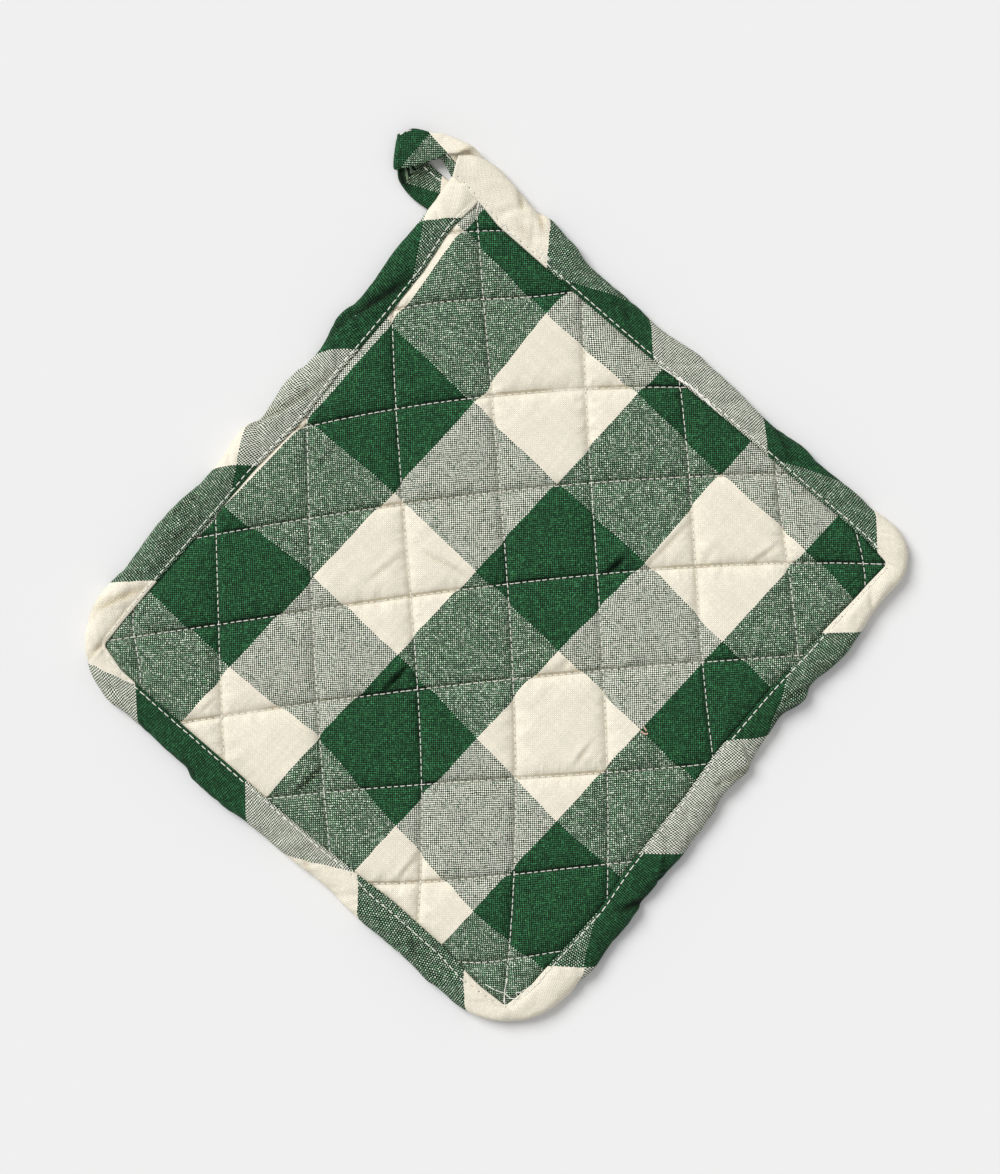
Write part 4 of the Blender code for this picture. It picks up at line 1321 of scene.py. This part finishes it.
def strip_places():
    """Every place of the strip, a row for each place along it and a column across its section."""
    share, level, shows = strip_section.T
    across = strip_edge - strip_lip
    narrow = np.minimum(strip_width / NOMINAL_WIDTH, 1.0)
    wide = outwards[None, :] * narrow[:, None]
    places = strip_lip[:, None] + across[:, None] * np.maximum(share, 0.0)[:, None]
    reach = reach_of(places, strip_side)

    # Folds and ripples lift and sink the front and draw the bound edge in and out.
    relief = np.zeros_like(reach)
    for name, rows in STRIP_FOLDS.items():
        for place, lean, depth, half_width in rows:
            centre = reach_at(name, place) + lean * wide
            relief -= depth * np.exp(-(((reach - centre) / half_width) ** 2))
    for height, along, lean, out, seed in STRIP_RIPPLES:
        ripples = roughness_at((reach * along - lean * wide).ravel(), (wide * out).ravel(), seed)
        relief += height * ripples.reshape(reach.shape)
    square_width = across[:, 1] * side_ways[strip_side, 0] - across[:, 0] * side_ways[strip_side, 1]
    off_lip = np.maximum(share, 0.0) * square_width[:, None]
    creases = [(reach_at(name, row[0]), row[1], reach_at(name, row[2]), *row[3:])
               for name, rows in STRIP_CREASES.items() for row in rows]
    pressed, shade = pressed_creases(reach, off_lip, creases)
    right, up = to_diagonals(places[..., 0], places[..., 1])
    at_corners, corner_shade = pressed_creases(right, up, CORNER_CREASES)
    relief = (relief + PRESSED_SHARE * (pressed + at_corners)) * shows
    shade = np.maximum(shade, corner_shade) * np.clip(shows * 2, 0, 1)

    # At the loop corner the strip's start lies over its end, and its end is pressed flat.
    middle = reach[:, lip_bend:lip_bend + 1]
    start = np.clip(1 - (middle - middle[0]) / START_OVERLAP, 0, 1)
    last = np.clip(1 - (middle[-1] - middle) / END_OVERLAP, 0, 1)
    start, last = start * start * (3 - 2 * start), last * last * (3 - 2 * last)
    front = level > FRONT_BENDS
    rolled = np.clip((share - ROLL_FROM) / ROLL_WIDTH, 0, 1)
    height = level + start * np.where(front, START_LIFT - START_ROLL * rolled * start * start, -START_SINK)
    edge_sink = END_EDGE_SINK * (share > END_EDGE_FROM)
    height = height + last * np.where(front, -END_SINK - edge_sink, END_LIFT)
    out = np.where(share > 0.6, share + relief * EDGE_DRAW, share)
    flat_spots = strip_lip[:, None] + across[:, None] * out[..., None]
    return np.dstack([flat_spots, height + relief]), reach, wide, shade


def mesh_on(name, places):
    """A mesh on a table of places, and each vertex's row and column in that table."""
    rows, columns = places.shape[:2]
    made = grid_mesh(name, rows - 1, columns - 1)
    i, j = np.round((sheet_places(made)[:, :2] + 0.5) * (rows - 1, columns - 1)).astype(int).T
    put_places(made, places[i, j] + [*PAD_MIDDLE, 0.0], MM)
    return made, i, j


def thicken(made, thickness):
    """Give a sheet its thickness, half of it to each side."""
    wall = made.modifiers.new("thickness", "SOLIDIFY")
    wall.thickness = thickness * MM
    wall.offset = 0.0


strip_spots, strip_reach, strip_out, strip_shade = strip_places()
strip_mesh, strip_i, strip_j = mesh_on("edge_binding", strip_spots)
strip_along = count_bands(strip_reach + ALONG_LEAN * strip_out, bands(BANDS_ALONG)) + 1
strip_across = count_bands(strip_reach + ACROSS_LEAN * (strip_out - ACROSS_FROM), bands(BANDS_ACROSS)) + 1
strip_counts = np.stack([strip_along, strip_across], 2)
lay_map(strip_mesh, "checks", strip_counts[strip_i, strip_j])
lay_shade(strip_mesh, strip_shade[strip_i, strip_j])
BINDING_CLOTH = gingham("Binding gingham", Unevenness=0.65, Grain=0.95)
binding = show("edge_binding_cloth", strip_mesh, BINDING_CLOTH)
thicken(binding, STRIP_THICKNESS)
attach(binding, "root")
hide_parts("edge_binding")

# ---------------------------------------------------------------------------------------
# Topstitching. One row of longer, thicker white stitches closes the strip near its inner edge
# on the front; the same needle leaves its row on the back.
# ---------------------------------------------------------------------------------------
TOPSTITCH_PITCH = 2.9
TOPSTITCH_SHARE = 0.9
TOPSTITCH_RADIUS = 0.19
TOPSTITCH_LIFT = 0.12
TOPSTITCH_BACK = 1.4    # millimetres from the lip to its row on the back
TOPSTITCH_POINTS = 300

# Millimetres from the lip to the row, a row for each place along a side.
TOPSTITCH_ROWS = {
    "loop": ((-14, 0.9), (0, 0.9), (60, 0.9), (120, 1.0), (190, 1.0)),
    "far": ((2, 0.8), (60, 1.0), (205, 0.9)),
    "toe": ((2, 0.9), (12, 1.4), (20, 2.8), (60, 3.0), (72, 1.2), (110, 0.8), (188, 0.8)),
    "near": ((3, 0.8), (100, 0.9), (190, 1.0), (202, 1.0)),
}


def topstitch_paths(stand=None):
    """The row's points along each side; stand, if given, is its distance from the lip."""
    paths = []
    for number, name in enumerate(CORNERS):
        rows = TOPSTITCH_ROWS[name]
        way = side_ways[number]
        outwards_way = np.array((-way[1], way[0]))
        lip = strip_lip[strip_side == number]
        lip_along = (lip - side_starts[number]) @ way
        lip_out = (lip - side_starts[number]) @ outwards_way
        along = np.linspace(rows[0][0], rows[-1][0], TOPSTITCH_POINTS)
        off = np.interp(along, lip_along, lip_out)
        off = off + (stand or np.array([smooth_row(rows, place) for place in along]))
        paths.append(side_starts[number] + np.outer(along, way) + np.outer(off, outwards_way))
    return paths


def solid_tree(made):
    """A search tree of an object's faces, its thickness worked in."""
    solid = worked_mesh(made)
    tree = surface_tree(solid)
    bpy.data.meshes.remove(solid)
    return tree


strip_tree = solid_tree(binding)
TOP_THREAD = thread_material("White topstitching", THREAD_COLOUR)
top_runs = [stitch_run(strip_tree, path, 1, TOPSTITCH_PITCH, TOPSTITCH_SHARE)
            for path in topstitch_paths()]
lay_stitches("topstitching_front", top_runs, TOPSTITCH_RADIUS, TOPSTITCH_LIFT, TOP_THREAD)
strip_finder = KDTree(strip_spots.size // 3)
for index, spot in enumerate(strip_spots.reshape(-1, 3)):
    strip_finder.insert(spot, index)
strip_finder.balance()


def strip_checks(spots):
    return strip_counts.reshape(-1, 2)[[strip_finder.find(spot)[1] for spot in spots]]


# Painted shade at the topstitching's needle holes.
needle_holes("needle_hole_shade_top", top_runs, strip_checks,
             TOPSTITCH_PITCH, TOPSTITCH_SHARE)
under_runs = [stitch_run(strip_tree, path, -1, TOPSTITCH_PITCH, TOPSTITCH_SHARE)
              for path in topstitch_paths(TOPSTITCH_BACK)]
lay_stitches("topstitching_back", under_runs, TOPSTITCH_RADIUS, TOPSTITCH_LIFT, TOP_THREAD)

# ---------------------------------------------------------------------------------------
# Hanging loop. The strip's own tail, its open edges sewn together: it rolls over as it leaves
# the corner, runs out to the left, folds under at its tip and is caught below the binding.
# ---------------------------------------------------------------------------------------
TAPE_THICKNESS = 0.3

# A row for each place along the tape: its sewn edge, its folded edge and the edge of its lower
# leaf, how full it is, and how far the lower leaf has opened away from the upper one.
TAPE_LEAVING = (
    ((-103.6, 112.8, 3.4), (-104.0, 111.6, 4.0), (-104.0, 110.4, 3.6), 0.5, 0.0),
    ((-107.2, 113.2, 3.9), (-107.6, 111.6, 5.4), (-105.8, 104.8, 3.9), 0.7, 0.5),
    ((-109.6, 113.0, 4.1), (-109.8, 110.6, 6.5), (-107.2, 101.0, 3.7), 0.9, 1.0),
    ((-112.0, 112.5, 4.2), (-111.3, 107.9, 6.3), (-110.6, 102.0, 3.5), 1.0, 1.0),
    ((-115.0, 111.7, 4.2), (-113.6, 106.0, 5.3), (-114.4, 103.1, 3.5), 1.0, 0.6),
    ((-119.0, 110.2, 4.1), (-116.2, 101.4, 4.4), (-116.2, 101.4, 4.2), 1.0, 0.0),
    ((-122.9, 107.7, 3.9), (-118.8, 97.2, 4.0), (-118.8, 97.2, 4.0), 1.0, 0.0),
    ((-126.6, 105.9, 3.7), (-121.0, 94.0, 3.8), (-121.0, 94.0, 3.8), 1.0, 0.0),
    ((-129.3, 104.0, 3.4), (-122.7, 91.7, 3.5), (-122.7, 91.7, 3.5), 1.0, 0.0),
)
TIP_FOLD = ((-130.6, 100.6), (-123.9, 90.4))    # the ends of the fold at the tip
TIP_HEIGHTS = (3.15, 1.0)                       # of the tape above and below that fold
TIP_STEPS = 4
TAPE_RETURNING = (
    ((-126.6, 99.6, 1.0), (-121.5, 88.2, 1.0), (-121.5, 88.2, 1.0), 0.95, 0.0),
    ((-120.0, 99.1, 1.0), (-117.6, 86.9, 1.0), (-117.6, 86.9, 1.0), 0.95, 0.0),
    ((-113.0, 99.0, 1.0), (-112.6, 86.4, 1.0), (-112.6, 86.4, 1.0), 0.95, 0.0),
    ((-107.4, 99.0, 1.0), (-107.2, 86.9, 1.0), (-107.2, 86.9, 1.0), 0.9, 0.0),
    ((-104.6, 99.0, 1.0), (-104.6, 87.2, 1.0), (-104.6, 87.2, 1.0), 0.8, 0.0),
)
TAPE_STEPS = 6          # places along the tape from each row to the next one

# The tape's section, a row for each bend: share of the way from the sewn edge to the folded one
# and height above its middle in millimetres, the same where the leaves have opened, and leaf.
TAPE_BENDS = (
    (0.46, 0.20, 0.46, 0.20, 0), (0.20, 0.21, 0.20, 0.21, 0), (0.03, 0.22, 0.03, 0.22, 0),
    (-0.01, 0.40, -0.01, 0.40, 0), (0.02, 0.62, 0.02, 0.62, 0), (0.10, 0.52, 0.10, 0.52, 0),
    (0.20, 0.72, 0.20, 0.72, 0), (0.45, 0.80, 0.45, 0.80, 0), (0.72, 0.74, 0.72, 0.80, 0),
    (0.88, 0.58, 0.90, 0.66, 0), (0.96, 0.40, 0.98, 0.36, 0), (0.985, 0.22, 1.0, 0.02, 0),
    (0.995, 0.12, 0.94, -0.28, 0), (1.0, 0.06, 0.78, -0.60, 0), (1.0, 0.0, 0.62, 0.45, 1),
    (1.0, -0.04, 0.84, 0.30, 1), (0.998, -0.1, 0.96, 0.22, 1), (0.995, -0.16, 1.0, 0.0, 1),
    (0.985, -0.28, 0.98, -0.24, 1), (0.90, -0.54, 0.88, -0.30, 1), (0.72, -0.70, 0.70, -0.40, 1),
    (0.45, -0.76, 0.45, -0.50, 1), (0.20, -0.70, 0.20, -0.60, 1), (0.10, -0.52, 0.10, -0.50, 1),
    (0.02, -0.62, 0.02, -0.60, 1), (-0.01, -0.40, -0.01, -0.40, 1), (0.03, -0.22, 0.03, -0.22, 1),
    (0.20, -0.21, 0.20, -0.21, 1), (0.46, -0.20, 0.46, -0.20, 1),
)

# Creases across the tape, a row for each: how far along it, how much of its fullness the crease
# takes, and its lean. Places, lean and width are shares of the tape's length.
TAPE_FOLDS = ((0.28, 0.27, 0.024), (0.40, -0.315, 0.018), (0.50, -0.27, 0.021), (0.765, 0.45, 0.012),
              (0.86, -0.27, 0.018))
TAPE_FOLD_WIDTH = 0.014

# Shade, as rows of right and up of two ends, depth and half width. The first rows are the folds
# where the tape comes out from the hood that it makes as it rolls over. The others are the
# hood's own shade on the tape that comes back under it.
HOOD_FOLD_SHADE = ((-15.2, 152.6, -7.2, 156.6, 1.3, 1.5), (-19.5, 151.0, -15.8, 153.0, 0.5, 0.8))
HOOD_SHADE = ((-37.0, 145.0, -19.0, 150.4, 1.3, 2.6), (-31.6, 150.5, -31.0, 143.0, 1.3, 2.4))
HOOD_LEVEL = 3.0        # the tape that goes out lies above this height, the one back below

# Lines where the tape's bands change: a place on each, and the way in which the count rises.
LEAVING_ALONG = ((-122.3, 107.3), (0.121, 0.993))
LEAVING_ACROSS = ((-123.1, 100.0), (1.0, 0.0))
RETURNING_ALONG = ((-110.1, 98.6), (0.818, 0.575))
RETURNING_ACROSS = ((-118.2, 89.3), (-0.408, 0.913))
TIP_DARK = ((-120.9, 91.0), (1.13, 0.98))
TAPE_CHECK = 40.0       # millimetres to a check


def tape_rows():
    """The tape's places from its start to its end, the fold at its tip among them."""
    first, second = np.array(TIP_FOLD)
    way = (second - first) / np.linalg.norm(second - first)
    outwards_way = np.array((way[1], -way[0]))
    high, low = TIP_HEIGHTS
    rows = [[*sewn, *folded, *leaf, full, opened] for sewn, folded, leaf, full, opened in TAPE_LEAVING]
    for step in range(TIP_STEPS + 1):
        turn = math.pi * step / TIP_STEPS
        shift = outwards_way * (high - low) / 2 * math.sin(turn)
        height = (high + low) / 2 + (high - low) / 2 * math.cos(turn)
        edges = [*(first + shift), height, *(second + shift), height]
        rows.append([*edges, *edges[3:], 1.0, 0.0])
    rows += [[*sewn, *folded, *leaf, full, opened] for sewn, folded, leaf, full, opened in TAPE_RETURNING]
    return smooth_bends(rows, [TAPE_STEPS] * (len(rows) - 1))


def band_count(line, x, y):
    """Checks counted from a line where a band starts."""
    (from_x, from_y), (way_x, way_y) = line
    return 1 + ((x - from_x) * way_x + (y - from_y) * way_y) / TAPE_CHECK


tape_places = tape_rows()
sewn_edge, folded_edge, leaf_edge = tape_places[:, 0:3], tape_places[:, 3:6], tape_places[:, 6:9]
full, opened = tape_places[:, 9:10], np.clip(tape_places[:, 10:11], 0, 1)
bends = np.array(TAPE_BENDS).T
tape_share = bends[0] * (1 - opened) + bends[2] * opened
tape_lift = (bends[1] * (1 - opened) + bends[3] * opened) * full
upwards = np.cross(np.gradient(sewn_edge + folded_edge, axis=0), folded_edge - sewn_edge)
upwards /= np.linalg.norm(upwards, axis=1, keepdims=True)
progress = np.linspace(0, 1, len(tape_places))[:, None]
for place, depth, lean in TAPE_FOLDS:
    crease = np.exp(-(((progress - place - lean * (tape_share - 0.5)) / TAPE_FOLD_WIDTH) ** 2))
    tape_lift = tape_lift * (1 - depth * crease)
on_leaf = bends[4][None, :, None]
to_edge = folded_edge[:, None] * (1 - on_leaf) + leaf_edge[:, None] * on_leaf - sewn_edge[:, None]
tape_spots = sewn_edge[:, None] + to_edge * tape_share[..., None] + upwards[:, None] * tape_lift[..., None]
tape_spots[..., 2] = np.maximum(tape_spots[..., 2], TAPE_THICKNESS / 2)

tape_mesh, tape_i, tape_j = mesh_on("hanging_loop", tape_spots)
tape_x, tape_y, tape_z = tape_spots[tape_i, tape_j].T
shades = [pressed_creases(*to_diagonals(tape_x, tape_y), rows)[1] for rows in (HOOD_FOLD_SHADE, HOOD_SHADE)]
lay_shade(tape_mesh, np.where(tape_z > HOOD_LEVEL, *shades))

# The checks change over from those of the tape going out to those of the tape coming back.
turn_over = (len(TAPE_LEAVING) + TIP_STEPS / 2) * TAPE_STEPS
back_share = np.clip((tape_i - turn_over) / (TIP_STEPS * TAPE_STEPS) + 0.5, 0, 1)
band_lines = (LEAVING_ALONG, LEAVING_ACROSS, RETURNING_ALONG, RETURNING_ACROSS, TIP_DARK)
out_along, out_across, back_along, back_across, tip_dark = [
    band_count(line, tape_x, tape_y) for line in band_lines]
tape_along = out_along * (1 - back_share) + back_along * back_share
tape_across = out_across * (1 - back_share) + np.minimum(back_across, tip_dark) * back_share
lay_map(tape_mesh, "checks", np.stack([tape_along, tape_across], 1))
tape = show("hanging_loop_cloth", tape_mesh, BINDING_CLOTH)
thicken(tape, TAPE_THICKNESS)
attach(tape, "root")
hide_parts("hanging_loop")

# Its stitches: on the tip, beside the hole, on the leaf that has opened, and underneath. A row
# for each line of them: 1 above or -1 below, then the places that it runs through.
TAPE_ROWS = (
    (1, (-131.2, 98.9), (-130.6, 101.5), (-128.6, 104.6)),
    (1, (-118.2, 97.1), (-106.5, 97.4)),
    (1, (-114.2, 105.2), (-109.0, 105.0)),
    (-1, (-119.5, 97.2), (-106.5, 97.4)),
)
tape_tree = solid_tree(tape)
tape_runs = [stitch_run(tape_tree, np.array(places), side, TOPSTITCH_PITCH, TOPSTITCH_SHARE)
             for side, *places in TAPE_ROWS]
lay_stitches("loop_stitching", tape_runs, TOPSTITCH_RADIUS, TOPSTITCH_LIFT, TOP_THREAD)

# ---------------------------------------------------------------------------------------
# Loose threads. White ends and thread caught up at the top corner, along the upper right edge
# and at the bottom corner, and one pinkish snarl of lint on the front.
# ---------------------------------------------------------------------------------------
LOOSE_ENDS = (  # strands, spread, then places right and up from the pad's middle
    (2, 0.25, (-5.7, 137.6), (-6.3, 135.0)), (2, 0.2, (-4.9, 137.9), (-5.0, 136.3)),
    (2, 0.2, (-3.0, 136.7), (-3.9, 135.2)), (1, 0.1, (2.1, 129.0), (3.4, 129.9), (4.2, 127.7)),
    (2, 0.2, (4.7, 127.0), (6.9, 125.5), (8.5, 124.5)),
    (3, 0.3, (13.9, 122.0), (16.6, 119.4), (19.3, 117.2)),
    (2, 0.2, (57.3, 80.4), (62.2, 76.9), (67.0, 73.9)),
    (3, 0.5, (63.3, 76.0), (65.0, 75.3), (66.4, 74.0), (68.3, 73.4), (70.0, 71.6), (71.5, 71.0),
     (72.6, 69.0), (74.4, 68.0), (75.2, 66.6), (76.5, 65.8)),
    (3, 0.6, (64.6, 75.0), (66.6, 74.7), (68.0, 72.9)), (3, 0.6, (70.2, 72.4), (71.8, 69.9), (73.2, 69.6)),
    (2, 0.25, (73.5, 68.4), (77.9, 64.0), (79.6, 62.7)),
    (1, 0.05, (-3.5, -136.3), (0.0, -138.3), (3.2, -139.5), (5.3, -141.2), (7.6, -141.5), (8.5, -140.4),
     (9.3, -139.2), (7.3, -139.2), (7.9, -140.6)),
    (1, 0.05, (9.3, -138.9), (11.1, -138.0), (12.8, -136.6)),
    (1, 0.05, (4.4, -134.2), (3.5, -137.7), (3.2, -140.1), (3.6, -144.4)),
)
SNARL = ((1, 0.05, (52.0, -46.1), (53.1, -47.6)),
         (2, 0.12, (51.2, -47.5), (51.7, -48.2), (53.1, -48.8), (53.4, -48.2)))
LINT_COLOUR = (0.78, 0.50, 0.40, 1.0)


def on_top(right, up):
    """The highest cloth at a place given right and up from the pad's middle."""
    x, y = from_diagonals(right, up)
    hits = [drop_on(tree, x, y, 1)[0] for tree in (pad_tree, strip_tree, tape_tree)]
    return max((hit for hit in hits if hit is not None), key=lambda hit: hit.z)


def loose_runs(rows):
    """The strands of loose threads, each laid from place to place on whatever cloth is on top."""
    made = []
    for strands, spread, *places in rows:
        for _ in range(strands):
            spots = [on_top(*(place + LOOSENESS.uniform(-spread, spread, 2)))[:] for place in places]
            made.append(np.array([[first, last, (0, 0, 1)] for first, last in zip(spots, spots[1:])]))
    return made


lay_stitches("loose_ends", loose_runs(LOOSE_ENDS), radius=0.17, lift=0.22, material=TOP_THREAD, sink=-0.15)
LINT = thread_material("Pinkish lint", LINT_COLOUR)
lay_stitches("lint", loose_runs(SNARL), radius=0.26, lift=0.3, material=LINT, sink=-0.2)
